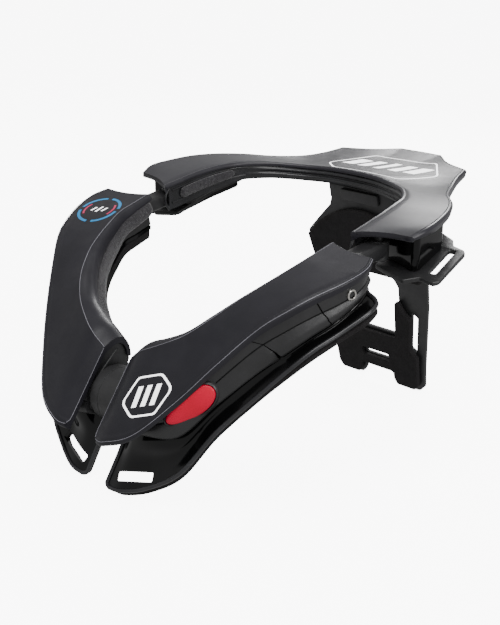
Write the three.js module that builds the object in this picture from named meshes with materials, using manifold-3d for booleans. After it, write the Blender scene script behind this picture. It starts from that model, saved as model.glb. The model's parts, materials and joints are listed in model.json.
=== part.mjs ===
// Motocross neck brace: a hinged collar of one rear part and two front halves that latch
// at the throat, on two chest plates in front and a back support behind.
// Brace frame: millimetres, x to the wearer's left, y to the rear, z up, the symmetry plane
// at x = 0 and the joint line between the rear part and the halves at y = 0, z = 0.

import * as THREE from 'three';
import { mergeVertices } from 'three/addons/utils/BufferGeometryUtils.js';
import Module from 'manifold-3d';

const wasm = await Module();
wasm.setup();

// Overall sizes of the collar
const HALF_WIDTH = 113; // symmetry plane to the widest point of a front half
const FRONT_REACH = 113.5; // joint line to the front tip
const FRONT_DROP = 99; // fall of the front tip below the joint line
const REAR_OVERHANG = 1; // the rear table's widest point outwards from a half's
const REAR_HALF_WIDTH = HALF_WIDTH + REAR_OVERHANG;
const REAR_REACH = 191; // joint line to the rear edge
const REAR_RISE = 11.6; // rise of the rear edge above the joint line
const CENTRE_GAP = 23; // between the front ends of the two halves

// Walls and clearances
const GAP = 0.3; // between pieces that seat on each other
const TABLE_SEAT = 0.5; // between a table and the walls under it
const TABLE_THICKNESS = 2.8;
const RIM_DEPTH = 5; // the table's downturned outer rim
const RIM_WIDTH = 2; // wall of that rim
const RIM_BEVEL = 1.8; // width of the bevel above the rim
const SHELL_WALL = 2.4;
const PARTING_DEPTH = 11; // parting line of the shell below the table's outer edge
const NECK_PAD_THICKNESS = 4;
const PLATE_THICKNESS = 2.4;
const CHEST_FOAM_THICKNESS = 5;

// Largest sizes of a front half's section, which the section table takes shares of
const ROLL_WIDTH = 19; // inner shoulder, inwards from the table's inner line
const SHOULDER_DROP = 11; // shoulder's lower edge below the inner line
const CROWN_RISE = 5; // rise of the shoulder at the front end
const PAD_BOTTOM = 22; // neck pad's lower edge below the inner line
const INNER_DEPTH = 24.5; // shell's inner bottom edge below the inner line
const OUTER_DEPTH = 28; // shell's outer bottom edge below the table
const OUTER_INSET = 16.4; // shell's outer wall in from the table's edge
const KEEL_BACK = 10; // shell's keel inwards from its outer bottom edge
const KEEL_DROP = 5; // and below it
const PLATE_FLARE = 8; // chest plate's edge outwards from the shell's bottom edge
const PLATE_DROP = 32.5; // and below it

// Rear part
const REAR_SAG = 2.5; // dip across the rear table
const WALL_INSET = 0.9; // inner wall in from the table's inner edge
const WALL_HEIGHT = 17; // inner wall at the arm ends
const WALL_DEPTH = 2; // inner wall's thickness
const RIDGE_HEIGHT = 1.7; // the two ridges that run round the inner wall
const REAR_PAD_THICKNESS = 2.2;
const STRAP_PLATE_HEIGHT = -20.1; // top of the strap plates at their front
const STRAP_PLATE_SLOPE = 0.27; // rise towards the rear
const STRAP_PLATE_THICKNESS = 2.5;
const STRAP_FOAM_THICKNESS = 3;
const STRAP_SLOT_WIDTH = 4.2;

// Hinge at each arm
const PIVOT_INSET = 0.2763; // share of the arm's width outwards from its inner edge
const PIVOT_Y = 34;
const BARREL_RADIUS = 6;
const BARREL_HEIGHT = 11.5;
const PIN_RADIUS = 2.5; // hinge pin on top of the barrel
const PIN_SLACK = 0.7; // between the pin's end and the sloping table above it
const TONGUE_TOP = -2; // at the barrel
const TONGUE_HEIGHT = 9;
const TONGUE_SLOPE = 0.13; // fall towards the front
const TONGUE_TENON = 8; // length of the tongue inside the shell

// Latch, release buttons and screws
const DRUM_RADIUS = 16;
const DRUM_Y = -80;
const DRUM_Z = -87;
const BUTTON_LENGTH = 32;
const BUTTON_HEIGHT = 12;
const BUTTON_THICKNESS = 4.6;
const BUTTON_DOME = 1.6;
const BUTTON_TRAVEL_ROOM = 2.6; // free depth behind each release button
const SCREW_RADIUS = 3;
const SCREW_LENGTH = 2.6;
const SCREW_SOCKET_RADIUS = 1.5;

// Chest plate strap slots
const CHEST_SLOT_LENGTH = 21;
const CHEST_SLOT_WIDTH = 5;

// Back support
const SUPPORT_SETBACK = 9.79; // top of the support behind the rear table's inner edge
const SUPPORT_TOP_Z = -3;
const SUPPORT_BOTTOM_Z = -148;
const SUPPORT_LEAN = 33; // its foot lies this far behind its top
const SUPPORT_THICKNESS = 3;
const SUPPORT_HALF_WIDTH = 52;
const BACK_PAD_THICKNESS = 4;
const LEG_SLOT_WIDTH = 4.4;
const LEG_SLOT_LENGTH = 29;
const CLIP_WIDTH = 31;
const CLIP_HEIGHT = 8;
const CLIP_THICKNESS = 2;
const HUB_HALF_WIDTH = 30;
const HUB_LENGTH = 24;
const HUB_BOTTOM = -15;
const HUB_CHAMFER = 6;
const HUB_STEPS = 8;
const HUB_SEAT = 0.7;

const HALF_STEPS = 22; // sections along a front half
const REAR_STEPS = 22; // sections along half of the rear part

// Edges of a front half's table, from the joint line to the throat.
// x in shares of HALF_WIDTH, y of FRONT_REACH, drop of FRONT_DROP.
const THROAT = CENTRE_GAP / 2 / HALF_WIDTH;
const HALF_EDGES = [
  { inX: 0.677, inY: 0.057, inDrop: -0.004, outX: 0.973, outY: 0, outDrop: 0 },
  { inX: 0.67, inY: -0.043, inDrop: 0.026, outX: 1, outY: -0.088, outDrop: 0.032 },
  { inX: 0.661, inY: -0.152, inDrop: 0.058, outX: 0.978, outY: -0.211, outDrop: 0.076 },
  { inX: 0.634, inY: -0.251, inDrop: 0.102, outX: 0.92, outY: -0.339, outDrop: 0.129 },
  { inX: 0.602, inY: -0.347, inDrop: 0.15, outX: 0.858, outY: -0.441, outDrop: 0.192 },
  { inX: 0.559, inY: -0.449, inDrop: 0.209, outX: 0.765, outY: -0.546, outDrop: 0.293 },
  { inX: 0.487, inY: -0.564, inDrop: 0.303, outX: 0.64, outY: -0.687, outDrop: 0.485 },
  { inX: 0.394, inY: -0.648, inDrop: 0.4, outX: 0.513, outY: -0.815, outDrop: 0.687 },
  { inX: 0.274, inY: -0.709, inDrop: 0.475, outX: 0.354, outY: -0.947, outDrop: 0.889 },
  { inX: 0.177, inY: -0.74, inDrop: 0.53, outX: 0.2, outY: -0.998, outDrop: 0.97 },
  { inX: THROAT, inY: -0.732, inDrop: 0.596, outX: THROAT, outY: -0.985, outDrop: 1 },
];

// Section of a front half at each of those rows, in shares of the section sizes above.
const HALF_SECTIONS = [
  { roll: 0.21, brow: 0.8, shoulder: 0.31, crown: 0, pad: 0.55, inner: 0.82,
    outer: 0.54, inset: 0.18, keelBack: 0.5, keelDrop: 0.4, flare: 0.95, plate: 0.24, rim: 1 },
  { roll: 0.21, brow: 0.8, shoulder: 0.4, crown: 0, pad: 0.63, inner: 0.82,
    outer: 0.59, inset: 0.16, keelBack: 0.6, keelDrop: 0.4, flare: 0.6, plate: 0.22, rim: 1 },
  { roll: 0.21, brow: 0.8, shoulder: 0.55, crown: 0, pad: 0.7, inner: 0.82,
    outer: 0.75, inset: 0.18, keelBack: 0.6, keelDrop: 0.2, flare: 0.2, plate: 0.2, rim: 1 },
  { roll: 0.24, brow: 0.75, shoulder: 0.7, crown: 0, pad: 0.86, inner: 0.92,
    outer: 0.86, inset: 0.18, keelBack: 0.6, keelDrop: 0.1, flare: 0.25, plate: 0.18, rim: 1 },
  { roll: 0.32, brow: 0.7, shoulder: 0.8, crown: 0, pad: 0.95, inner: 0.97,
    outer: 0.94, inset: 0.18, keelBack: 0.6, keelDrop: 0, flare: 0.25, plate: 0.22, rim: 1 },
  { roll: 0.47, brow: 0.68, shoulder: 0.95, crown: 0, pad: 1, inner: 1,
    outer: 1, inset: 0.18, keelBack: 0.65, keelDrop: 0, flare: 0.15, plate: 0.33, rim: 0.95 },
  { roll: 0.71, brow: 0.68, shoulder: 1, crown: 0.1, pad: 0.98, inner: 0.98,
    outer: 0.98, inset: 0.18, keelBack: 0.7, keelDrop: 0, flare: 0.1, plate: 0.41, rim: 0.85 },
  { roll: 0.89, brow: 0.7, shoulder: 0.95, crown: 0.25, pad: 0.92, inner: 0.93,
    outer: 0.95, inset: 0.2, keelBack: 0.8, keelDrop: 0, flare: -0.08, plate: 0.63, rim: 0.7 },
  { roll: 1, brow: 0.8, shoulder: 0.85, crown: 0.5, pad: 0.82, inner: 0.86,
    outer: 0.72, inset: 0.64, keelBack: 0.8, keelDrop: 0.5, flare: 0, plate: 0.96, rim: 0.55 },
  { roll: 1, brow: 0.97, shoulder: 1, crown: 0.9, pad: 0.7, inner: 0.8,
    outer: 0.8, inset: 0.89, keelBack: 0.9, keelDrop: 0.3, flare: 0.5, plate: 1, rim: 0.5 },
  { roll: 0.97, brow: 1, shoulder: 1, crown: 1, pad: 0.65, inner: 0.76,
    outer: 0.73, inset: 1, keelBack: 1, keelDrop: 1, flare: 0.95, plate: 0.93, rim: 0.5 },
];

// Edges of the rear table from an arm end to the symmetry plane.
// x in shares of REAR_HALF_WIDTH, y of REAR_REACH, rise of REAR_RISE, sag of REAR_SAG,
// wall of WALL_HEIGHT, ridge of RIDGE_HEIGHT. A row with corner is a sharp corner.
const REAR_EDGES = [
  { inX: 0.669, inY: 0.105, inRise: 0.28, outX: 0.978, outY: 0.16, outRise: 0.42,
    sag: 0, wall: 1.02, ridge: 0 },
  { inX: 0.662, inY: 0.173, inRise: 0.47, outX: 1, outY: 0.215, outRise: 0.71,
    sag: 0, wall: 1.03, ridge: 0 },
  { inX: 0.653, inY: 0.246, inRise: 0.69, outX: 0.984, outY: 0.283, outRise: 0.84,
    sag: 0, wall: 1, ridge: 0 },
  { inX: 0.627, inY: 0.334, inRise: 0.88, outX: 0.937, outY: 0.372, outRise: 0.97,
    sag: 0, wall: 0.89, ridge: 0 },
  { inX: 0.582, inY: 0.414, inRise: 0.94, outX: 0.86, outY: 0.453, outRise: 1,
    sag: 0, wall: 0.72, ridge: 0 },
  { inX: 0.482, inY: 0.495, inRise: 0.91, outX: 0.754, outY: 0.529, outRise: 0.95,
    sag: 0.2, wall: 0.66, ridge: 0.8 },
  { inX: 0.386, inY: 0.542, inRise: 0.86, outX: 0.662, outY: 0.615, outRise: 0.76,
    sag: 0.5, wall: 0.65, ridge: 1 },
  { inX: 0.289, inY: 0.576, inRise: 0.82, outX: 0.568, outY: 0.715, outRise: 0.65,
    sag: 0.8, wall: 0.65, ridge: 1 },
  { inX: 0.193, inY: 0.597, inRise: 0.82, outX: 0.504, outY: 0.796, outRise: 0.73,
    sag: 0.9, wall: 0.65, ridge: 1 },
  { inX: 0.132, inY: 0.605, inRise: 0.82, outX: 0.459, outY: 0.88, outRise: 0.91,
    sag: 1, wall: 0.65, ridge: 1, corner: true },
  { inX: 0.079, inY: 0.608, inRise: 0.82, outX: 0.286, outY: 0.924, outRise: 0.95,
    sag: 1, wall: 0.65, ridge: 1 },
  { inX: 0.035, inY: 0.61, inRise: 0.82, outX: 0.147, outY: 0.999, outRise: 0.99,
    sag: 1, wall: 0.65, ridge: 1, corner: true },
  { inX: 0, inY: 0.61, inRise: 0.82, outX: 0, outY: 1, outRise: 1,
    sag: 1, wall: 0.65, ridge: 1 },
];

const ARM_END = REAR_EDGES[0];
const PIVOT_X = REAR_HALF_WIDTH * (ARM_END.inX + (ARM_END.outX - ARM_END.inX) * PIVOT_INSET);
const SUPPORT_TOP_Y = REAR_REACH * REAR_EDGES[REAR_EDGES.length - 1].inY + SUPPORT_SETBACK;

// Half outline of the back support, from its top edge down the outer side, round the foot
// and up the inner side of the leg. x in shares of SUPPORT_HALF_WIDTH, down of its height.
const SUPPORT_OUTLINE = [
  { x: 0.52, down: 0 }, { x: 0.5, down: 0.06 }, { x: 0.55, down: 0.11 }, { x: 0.78, down: 0.19 },
  { x: 1, down: 0.27 }, { x: 0.93, down: 0.38 }, { x: 0.9, down: 0.53 }, { x: 0.76, down: 0.87 },
  { x: 0.73, down: 0.97 }, { x: 0.65, down: 1 }, { x: 0.32, down: 1 }, { x: 0.25, down: 0.96 },
  { x: 0.25, down: 0.93 },
];
const BAR_BOTTOM = 0.93; // lower edge of the lower cross bar, in shares of the height
const LOWER_SLOT = { top: 0.83, bottom: 0.87, x: 0.22 };
const LEG_OPENING = [
  { x: 0.36, down: 0.715 }, { x: 0.43, down: 0.6 }, { x: 0.45, down: 0.46 }, { x: 0.38, down: 0.42 },
];
const PAD_SPLIT = { upperEnd: 0.4, lowerStart: 0.53 };

// Outlines of a strap plate, the foam under it and the box above it, seen from above.
// x and y in shares of the strap plate's width and length.
const STRAP_PLATE_INSET = 38; // its front inner corner in from the table's widest point
const STRAP_PLATE_X = REAR_HALF_WIDTH - STRAP_PLATE_INSET;
const STRAP_PLATE_Y = PIVOT_Y - BARREL_RADIUS;
const STRAP_PLATE_WIDTH = 49.5;
const STRAP_PLATE_LENGTH = 66;
const STRAP_PLATE_OUTLINE = [
  { x: 0.21, y: 0.14 }, { x: 0.62, y: 0.02 }, { x: 0.76, y: 0.12 }, { x: 0.96, y: 0.09 },
  { x: 1, y: 0.14 }, { x: 0.91, y: 0.59 }, { x: 0.86, y: 0.63 }, { x: 0.69, y: 0.66 },
  { x: 0.61, y: 0.74 }, { x: 0.39, y: 0.81 }, { x: 0.24, y: 0.97 }, { x: 0.02, y: 1 },
  { x: 0.15, y: 0.62 },
];
const STRAP_FOAM_OUTLINE = [
  { x: 0.25, y: 0.18 }, { x: 0.58, y: 0.09 }, { x: 0.64, y: 0.3 }, { x: 0.58, y: 0.64 },
  { x: 0.35, y: 0.77 }, { x: 0.22, y: 0.93 }, { x: 0.05, y: 0.95 }, { x: 0.17, y: 0.62 },
];
const BOX_OUTLINE = [
  { x: 0.13, y: 0.29 }, { x: 0.46, y: 0.215 }, { x: 0.495, y: 0.245 }, { x: 0.54, y: 0.61 },
  { x: 0.51, y: 0.66 }, { x: 0.1, y: 0.76 },
];
const STRAP_SLOT_ENDS = [{ x: 0.83, y: 0.21 }, { x: 0.75, y: 0.585 }];

const COLOURS = {
  table: { color: 0x3a393e, roughness: 0.55, metalness: 0 },
  rearTable: { color: 0x46444a, roughness: 0.35, metalness: 0 },
  shell: { color: 0x2b2c2a, roughness: 0.4, metalness: 0 },
  gloss: { color: 0x111112, roughness: 0.15, metalness: 0 },
  foam: { color: 0x2a2829, roughness: 0.95, metalness: 0 },
  velvet: { color: 0x18171a, roughness: 1, metalness: 0 },
  drum: { color: 0x33342f, roughness: 0.5, metalness: 0 },
  button: { color: 0xd9163a, roughness: 0.35, metalness: 0 },
  chrome: { color: 0xd8d8d8, roughness: 0.15, metalness: 1 },
};

// Smooth value of one column at position t (0 to 1) along a table of rows.
function along(rows, key, t) {
  const place = t * (rows.length - 1);
  const i = Math.min(Math.floor(place), rows.length - 2);
  const f = place - i;
  const from = rows[i][key];
  const to = rows[i + 1][key];
  const step = to - from;
  const before = i > 0 && !rows[i].corner ? (to - rows[i - 1][key]) / 2 : step;
  const after = i + 2 < rows.length && !rows[i + 1].corner ? (rows[i + 2][key] - from) / 2 : step;
  const f2 = f * f;
  const f3 = f2 * f;
  return from * (2 * f3 - 3 * f2 + 1) + before * (f3 - 2 * f2 + f)
    + to * (3 * f2 - 2 * f3) + after * (f3 - f2);
}

function signedVolume(positions, index) {
  let sum = 0;
  const corner = [new THREE.Vector3(), new THREE.Vector3(), new THREE.Vector3()];
  for (let i = 0; i < index.length; i += 3) {
    corner.forEach((c, k) => c.fromArray(positions, 3 * index[i + k]));
    sum += corner[0].dot(corner[1].clone().cross(corner[2])) / 6;
  }
  return sum;
}

function closedGeometry(positions, index) {
  if (signedVolume(positions, index) < 0) {
    index.reverse();
  }
  const geometry = new THREE.BufferGeometry();
  geometry.setAttribute('position', new THREE.Float32BufferAttribute(positions, 3));
  geometry.setIndex(index);
  return geometry;
}

// Triangles of a flat ring that use every point, also those on a straight run.
function triangulate(ring) {
  const faces = THREE.ShapeUtils.triangulateShape(ring, []);
  const used = new Set(faces.flat());
  const nextUsed = (start, step) => {
    let i = start;
    do {
      i = (i + step + ring.length) % ring.length;
    } while (!used.has(i));
    return i;
  };
  ring.forEach((point, i) => {
    if (!used.has(i)) {
      const before = nextUsed(i, -1);
      const after = nextUsed(i, 1);
      const at = faces.findIndex((face) => face.includes(before) && face.includes(after));
      const face = faces[at];
      faces.splice(at, 1,
        face.map((v) => (v === after ? i : v)), face.map((v) => (v === before ? i : v)));
      used.add(i);
    }
  });
  return faces;
}

// Closed solid through a list of rings with the same number of points each; flatRings gives
// the first and last of them as flat outlines.
function loft(rings, flatRings) {
  const count = rings[0].length;
  const positions = rings.flat().flatMap((p) => [p.x, p.y, p.z]);
  const index = [];
  for (let r = 0; r + 1 < rings.length; r += 1) {
    for (let k = 0; k < count; k += 1) {
      const a = r * count + k;
      const b = r * count + ((k + 1) % count);
      index.push(a, b, b + count, a, b + count, a + count);
    }
  }
  const addCap = (ring, offset, turn) => {
    const faces = triangulate(ring);
    const facing = faces.reduce((sum, face) => {
      const [p, q, r] = face.map((v) => ring[v]);
      return sum + (q.x - p.x) * (r.y - p.y) - (r.x - p.x) * (q.y - p.y);
    }, 0);
    const flip = Math.sign(facing) !== turn * Math.sign(THREE.ShapeUtils.area(ring));
    faces.forEach((face) => {
      index.push(...(flip ? [...face].reverse() : face).map((v) => v + offset));
    });
  };
  addCap(flatRings[0], 0, -1);
  addCap(flatRings[flatRings.length - 1], (rings.length - 1) * count, 1);
  return closedGeometry(positions, index);
}

// Loft of section(t), a list of [u, v] points, placed in space by place(t, u, v).
function sweep(section, place, steps, from = 0, to = 1) {
  const rings = [];
  const flatRings = [];
  for (let i = 0; i <= steps; i += 1) {
    const t = from + ((to - from) * i) / steps;
    const points = section(t);
    flatRings.push(points.map(([u, v]) => new THREE.Vector2(u, v)));
    rings.push(points.map(([u, v]) => place(t, u, v)));
  }
  return loft(rings, flatRings);
}

// Flat plate: an outline with holes, raised by a height along z.
function plate(outline, holes, height, bevel = 0) {
  const wound = (points) => {
    const flat = points.map(([x, y]) => new THREE.Vector2(x, y));
    return THREE.ShapeUtils.isClockWise(flat) ? flat.reverse() : flat;
  };
  const shape = new THREE.Shape(wound(outline));
  shape.holes = holes.map((hole) => new THREE.Path(wound(hole)));
  const geometry = new THREE.ExtrudeGeometry(shape, {
    depth: height - 2 * bevel, bevelEnabled: bevel > 0, bevelThickness: bevel, bevelSize: bevel,
    bevelOffset: -bevel, bevelSegments: 1, curveSegments: 8,
  });
  return geometry.translate(0, 0, bevel);
}

// Moves each point of a closed [u, v] outline inwards by a distance.
function insetOutline(points, distance) {
  const area = points.reduce((sum, [x, y], i) => {
    const [nx, ny] = points[(i + 1) % points.length];
    return sum + x * ny - nx * y;
  }, 0);
  const side = Math.sign(area) * distance;
  return points.map((point, i) => {
    const last = points[(i + points.length - 1) % points.length];
    const next = points[(i + 1) % points.length];
    const a = new THREE.Vector2(point[0] - last[0], point[1] - last[1]).normalize();
    const b = new THREE.Vector2(next[0] - point[0], next[1] - point[1]).normalize();
    const normal = new THREE.Vector2(-a.y - b.y, a.x + b.x);
    const spread = Math.max(0.6, (1 + a.dot(b)) / 2);
    normal.normalize().multiplyScalar(side / Math.sqrt(spread));
    return [point[0] + normal.x, point[1] + normal.y];
  });
}

// Outline of a band of a given thickness under an open [u, v] line.
function bandUnder(line, thickness, start = 0) {
  const offset = (distance) => line.map(([u, v], i) => {
    const [pu, pv] = line[Math.max(i - 1, 0)];
    const [nu, nv] = line[Math.min(i + 1, line.length - 1)];
    const run = new THREE.Vector2(nu - pu, nv - pv).normalize();
    return [u + run.y * distance, v - run.x * distance];
  });
  return [...offset(start), ...offset(start + thickness).reverse()];
}

function toSolid(geometry) {
  const bare = geometry.clone();
  bare.deleteAttribute('normal');
  bare.deleteAttribute('uv');
  const merged = mergeVertices(bare, 1e-4);
  return new wasm.Manifold(new wasm.Mesh({
    numProp: 3,
    vertProperties: new Float32Array(merged.attributes.position.array),
    triVerts: new Uint32Array(merged.index.array),
  }));
}

function toGeometry(solid) {
  const mesh = solid.getMesh();
  const geometry = new THREE.BufferGeometry();
  geometry.setAttribute('position', new THREE.BufferAttribute(mesh.vertProperties, 3));
  geometry.setIndex(new THREE.BufferAttribute(mesh.triVerts, 1));
  return geometry;
}

function cut(geometry, ...tools) {
  const result = tools.reduce((solid, tool) => solid.subtract(toSolid(tool)), toSolid(geometry));
  return toGeometry(result);
}

// Turns a geometry so that its x, y and z axes lie along the given directions, then moves it.
function aim(geometry, xAxis, yAxis, zAxis, origin) {
  const matrix = new THREE.Matrix4().makeBasis(xAxis, yAxis, zAxis).setPosition(origin);
  return geometry.clone().applyMatrix4(matrix);
}

// Shear that lifts what lies behind y = from and lowers what lies before it.
function risingBack(slope, from) {
  return new THREE.Matrix4().set(
    1, 0, 0, 0,
    0, 1, 0, 0,
    0, slope, 1, -slope * from,
    0, 0, 0, 1);
}

// Lowest height of a geometry above the point (x, y).
function undersideAt(geometry, x, y) {
  const { position } = geometry.attributes;
  const { index } = geometry;
  let lowest = Infinity;
  const p = [new THREE.Vector3(), new THREE.Vector3(), new THREE.Vector3()];
  for (let i = 0; i < index.count; i += 3) {
    p.forEach((corner, k) => corner.fromBufferAttribute(position, index.getX(i + k)));
    const [a, b, c] = p;
    const whole = (b.x - a.x) * (c.y - a.y) - (c.x - a.x) * (b.y - a.y);
    if (Math.abs(whole) > 1e-9) {
      const towardsB = ((x - a.x) * (c.y - a.y) - (c.x - a.x) * (y - a.y)) / whole;
      const towardsC = ((b.x - a.x) * (y - a.y) - (x - a.x) * (b.y - a.y)) / whole;
      if (towardsB >= 0 && towardsC >= 0 && towardsB + towardsC <= 1) {
        lowest = Math.min(lowest, a.z + towardsB * (b.z - a.z) + towardsC * (c.z - a.z));
      }
    }
  }
  return lowest;
}

// Front half: edge points, the outward direction and the section sizes at position t.
function halfStation(t) {
  const edge = (key) => along(HALF_EDGES, key, t);
  const size = (key, whole) => along(HALF_SECTIONS, key, t) * whole;
  const inner = new THREE.Vector3(
    edge('inX') * HALF_WIDTH, edge('inY') * FRONT_REACH, -edge('inDrop') * FRONT_DROP);
  const outer = new THREE.Vector3(
    edge('outX') * HALF_WIDTH, edge('outY') * FRONT_REACH, -edge('outDrop') * FRONT_DROP);
  const width = Math.hypot(outer.x - inner.x, outer.y - inner.y);
  const outward = new THREE.Vector3((outer.x - inner.x) / width, (outer.y - inner.y) / width, 0);
  const fall = outer.z - inner.z;
  const length = Math.hypot(width, fall);
  return {
    inner, outer, outward, width, fall,
    run: [width / length, fall / length],
    roll: size('roll', ROLL_WIDTH),
    brow: Math.max(size('roll', ROLL_WIDTH) * along(HALF_SECTIONS, 'brow', t), SHELL_WALL),
    shoulder: size('shoulder', SHOULDER_DROP),
    crown: size('crown', CROWN_RISE),
    padBottom: size('pad', PAD_BOTTOM),
    innerDepth: size('inner', INNER_DEPTH),
    outerDepth: size('outer', OUTER_DEPTH),
    inset: size('inset', OUTER_INSET),
    keelBack: size('keelBack', KEEL_BACK),
    keelDrop: size('keelDrop', KEEL_DROP),
    flare: size('flare', PLATE_FLARE),
    plateDrop: size('plate', PLATE_DROP),
    rim: size('rim', RIM_DEPTH),
  };
}

function halfPlace(t, u, v) {
  const s = halfStation(t);
  return s.inner.clone().addScaledVector(s.outward, u).add(new THREE.Vector3(0, 0, v));
}

// Point of a section at a distance back from the table's outer edge along its top, and
// straight down from there.
function fromEdge(s, back, down) {
  return [s.width - back, s.fall - (s.fall * back) / s.width - down];
}

// Height of a layer of a given thickness under the sloping table, measured straight down.
function upright(s, thickness) {
  return thickness / s.run[0];
}

const SHOULDER_TURNS = [0, 0.35, 0.7];

// Point of the rolled shoulder; turn runs from 0 at the inner line to 1 at its lower edge.
function shoulderPoint(s, turn, depth) {
  const angle = (turn * Math.PI) / 2;
  const reach = s.brow - depth * 0.9;
  const rise = s.crown * Math.sin(2 * angle) - s.shoulder * (1 - Math.cos(angle));
  return [-reach * Math.sin(angle), rise - upright(s, depth) * Math.cos(angle)];
}

function halfTableSection(t) {
  const s = halfStation(t);
  return [
    [0, 0],
    fromEdge(s, RIM_BEVEL, 0),
    fromEdge(s, 0, RIM_BEVEL),
    [s.width - RIM_BEVEL / 2, s.fall - s.rim],
    [s.width - RIM_BEVEL / 2 - RIM_WIDTH, s.fall - s.rim],
    fromEdge(s, RIM_BEVEL / 2 + RIM_WIDTH, upright(s, TABLE_THICKNESS)),
    ...[...SHOULDER_TURNS, 1].map((turn) => shoulderPoint(s, turn, TABLE_THICKNESS)),
    ...[...SHOULDER_TURNS.slice(1), 1].reverse().map((turn) => shoulderPoint(s, turn, 0)),
  ];
}

// Corners of the shell's section, outside and below the table and behind the neck pad.
function shellCorners(t) {
  const s = halfStation(t);
  const wallBack = RIM_BEVEL / 2 + RIM_WIDTH + GAP;
  const outerTop = fromEdge(s, Math.max(s.inset, wallBack), upright(s, TABLE_THICKNESS + TABLE_SEAT));
  const bottomU = s.width - s.inset;
  const outerBottom = [bottomU, (s.fall * bottomU) / s.width - s.outerDepth];
  const parting = Math.min(PARTING_DEPTH / s.outerDepth, 0.6);
  const outerParting = [
    outerTop[0] + (outerBottom[0] - outerTop[0]) * parting,
    outerTop[1] + (outerBottom[1] - outerTop[1]) * parting,
  ];
  const keel = [outerBottom[0] - s.keelBack, outerBottom[1] - s.keelDrop];
  const innerBottom = [-s.roll + SHELL_WALL, -s.innerDepth];
  const seat = NECK_PAD_THICKNESS + GAP;
  const padTop = [-s.brow + seat, -s.shoulder - GAP];
  const padEnd = [-s.roll + seat, -s.padBottom];
  const innerParting = [(padTop[0] + padEnd[0]) / 2, (padTop[1] + padEnd[1]) / 2];
  const under = TABLE_THICKNESS + TABLE_SEAT;
  const shoulder = shoulderPoint(s, 0.5, under);
  const rolled = SHOULDER_TURNS.map((turn) => shoulderPoint(s, turn, under));
  return {
    s, outerTop, outerParting, outerBottom, keel, innerBottom, padEnd, padTop, innerParting,
    shoulder, rolled,
  };
}

function lowered([u, v], distance) {
  return [u, v - distance];
}

function upperShellSection(t) {
  const c = shellCorners(t);
  return [c.outerTop, ...c.rolled, c.padTop, c.innerParting, c.outerParting];
}

function lowerShellSection(t) {
  const c = shellCorners(t);
  return [
    lowered(c.outerParting, GAP), lowered(c.innerParting, GAP),
    c.padEnd, c.innerBottom, c.keel, c.outerBottom,
  ];
}

function hollowCorners(t) {
  const c = shellCorners(t);
  return [c.outerTop, c.shoulder, c.padEnd, c.innerBottom, c.keel, c.outerBottom];
}

// Hollow inside both shells, one wall in from their outside.
function cavitySection(t) {
  return insetOutline(hollowCorners(t), SHELL_WALL);
}

function neckPadSection(t) {
  const s = halfStation(t);
  const top = [-s.brow, -s.shoulder - GAP];
  const bottom = [-s.roll, -s.padBottom];
  const middle = [(top[0] + bottom[0]) / 2, (top[1] + bottom[1]) / 2];
  return [
    [top[0] + NECK_PAD_THICKNESS, top[1]],
    [top[0] + 0.4, top[1]],
    [top[0] - 0.9, top[1] - 1.4],
    [middle[0] - 1.8, middle[1]],
    [bottom[0] - 0.9, bottom[1] + 1.4],
    [bottom[0] + 0.4, bottom[1]],
    [bottom[0] + NECK_PAD_THICKNESS, bottom[1]],
  ];
}

// Top line of the chest plate's section, from under the neck side to its outer edge.
function plateLine(t) {
  const { s, innerBottom, keel, outerBottom } = shellCorners(t);
  const edge = [outerBottom[0] + s.flare, outerBottom[1] - s.plateDrop];
  const seat = lowered(keel, GAP);
  const hollow = 0.12;
  const middle = [
    (seat[0] + edge[0]) / 2 - hollow * s.plateDrop,
    (seat[1] + edge[1]) / 2 - hollow * s.plateDrop * 0.4,
  ];
  return [lowered(innerBottom, GAP), seat, middle, edge];
}

function chestPlateSection(t) {
  return bandUnder(plateLine(t), PLATE_THICKNESS);
}

function chestFoamSection(t) {
  return bandUnder(plateLine(t), CHEST_FOAM_THICKNESS, PLATE_THICKNESS + GAP).reverse();
}

// Frame of the release button on the shell's outer wall.
const BUTTON_AT = 0.668;
const BUTTON_ALONG = 0.09;
const BUTTON_DROP = 1.8; // below the parting line
function buttonFrame() {
  const wallPoint = (t) => {
    const { outerParting } = shellCorners(t);
    return halfPlace(t, outerParting[0], outerParting[1] - BUTTON_DROP);
  };
  const centre = wallPoint(BUTTON_AT);
  const lengthwise = wallPoint(BUTTON_AT + BUTTON_ALONG).sub(wallPoint(BUTTON_AT - BUTTON_ALONG));
  lengthwise.normalize();
  const outward = new THREE.Vector3(-lengthwise.y, lengthwise.x, 0).normalize();
  if (outward.x < 0) {
    outward.negate();
  }
  const upward = outward.clone().cross(lengthwise);
  return { centre, lengthwise, upward, outward };
}

// Oval outline of a button, blunt at the rear end and drawn to a point at the front end.
function buttonOutline(grow) {
  const points = [];
  const sides = 20;
  for (let i = 0; i < sides; i += 1) {
    const angle = (2 * Math.PI * i) / sides;
    const taper = 1 - 0.22 * Math.cos(angle);
    points.push([
      (BUTTON_LENGTH / 2 + grow) * Math.cos(angle),
      (BUTTON_HEIGHT / 2 + grow) * Math.sin(angle) * taper,
    ]);
  }
  return points;
}

function atButton(geometry, outwards) {
  const f = buttonFrame();
  return aim(geometry, f.lengthwise, f.upward, f.outward,
    f.centre.clone().addScaledVector(f.outward, outwards));
}

const BUTTON_PROUD = 2.4; // how far a button stands out of the parting line
const buttonGeometry = atButton(
  plate(buttonOutline(0), [], BUTTON_THICKNESS, BUTTON_DOME), BUTTON_PROUD - BUTTON_THICKNESS);
const buttonPocket = atButton(
  plate(buttonOutline(GAP), [], BUTTON_THICKNESS * 3),
  BUTTON_PROUD - BUTTON_THICKNESS - BUTTON_TRAVEL_ROOM);

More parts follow.
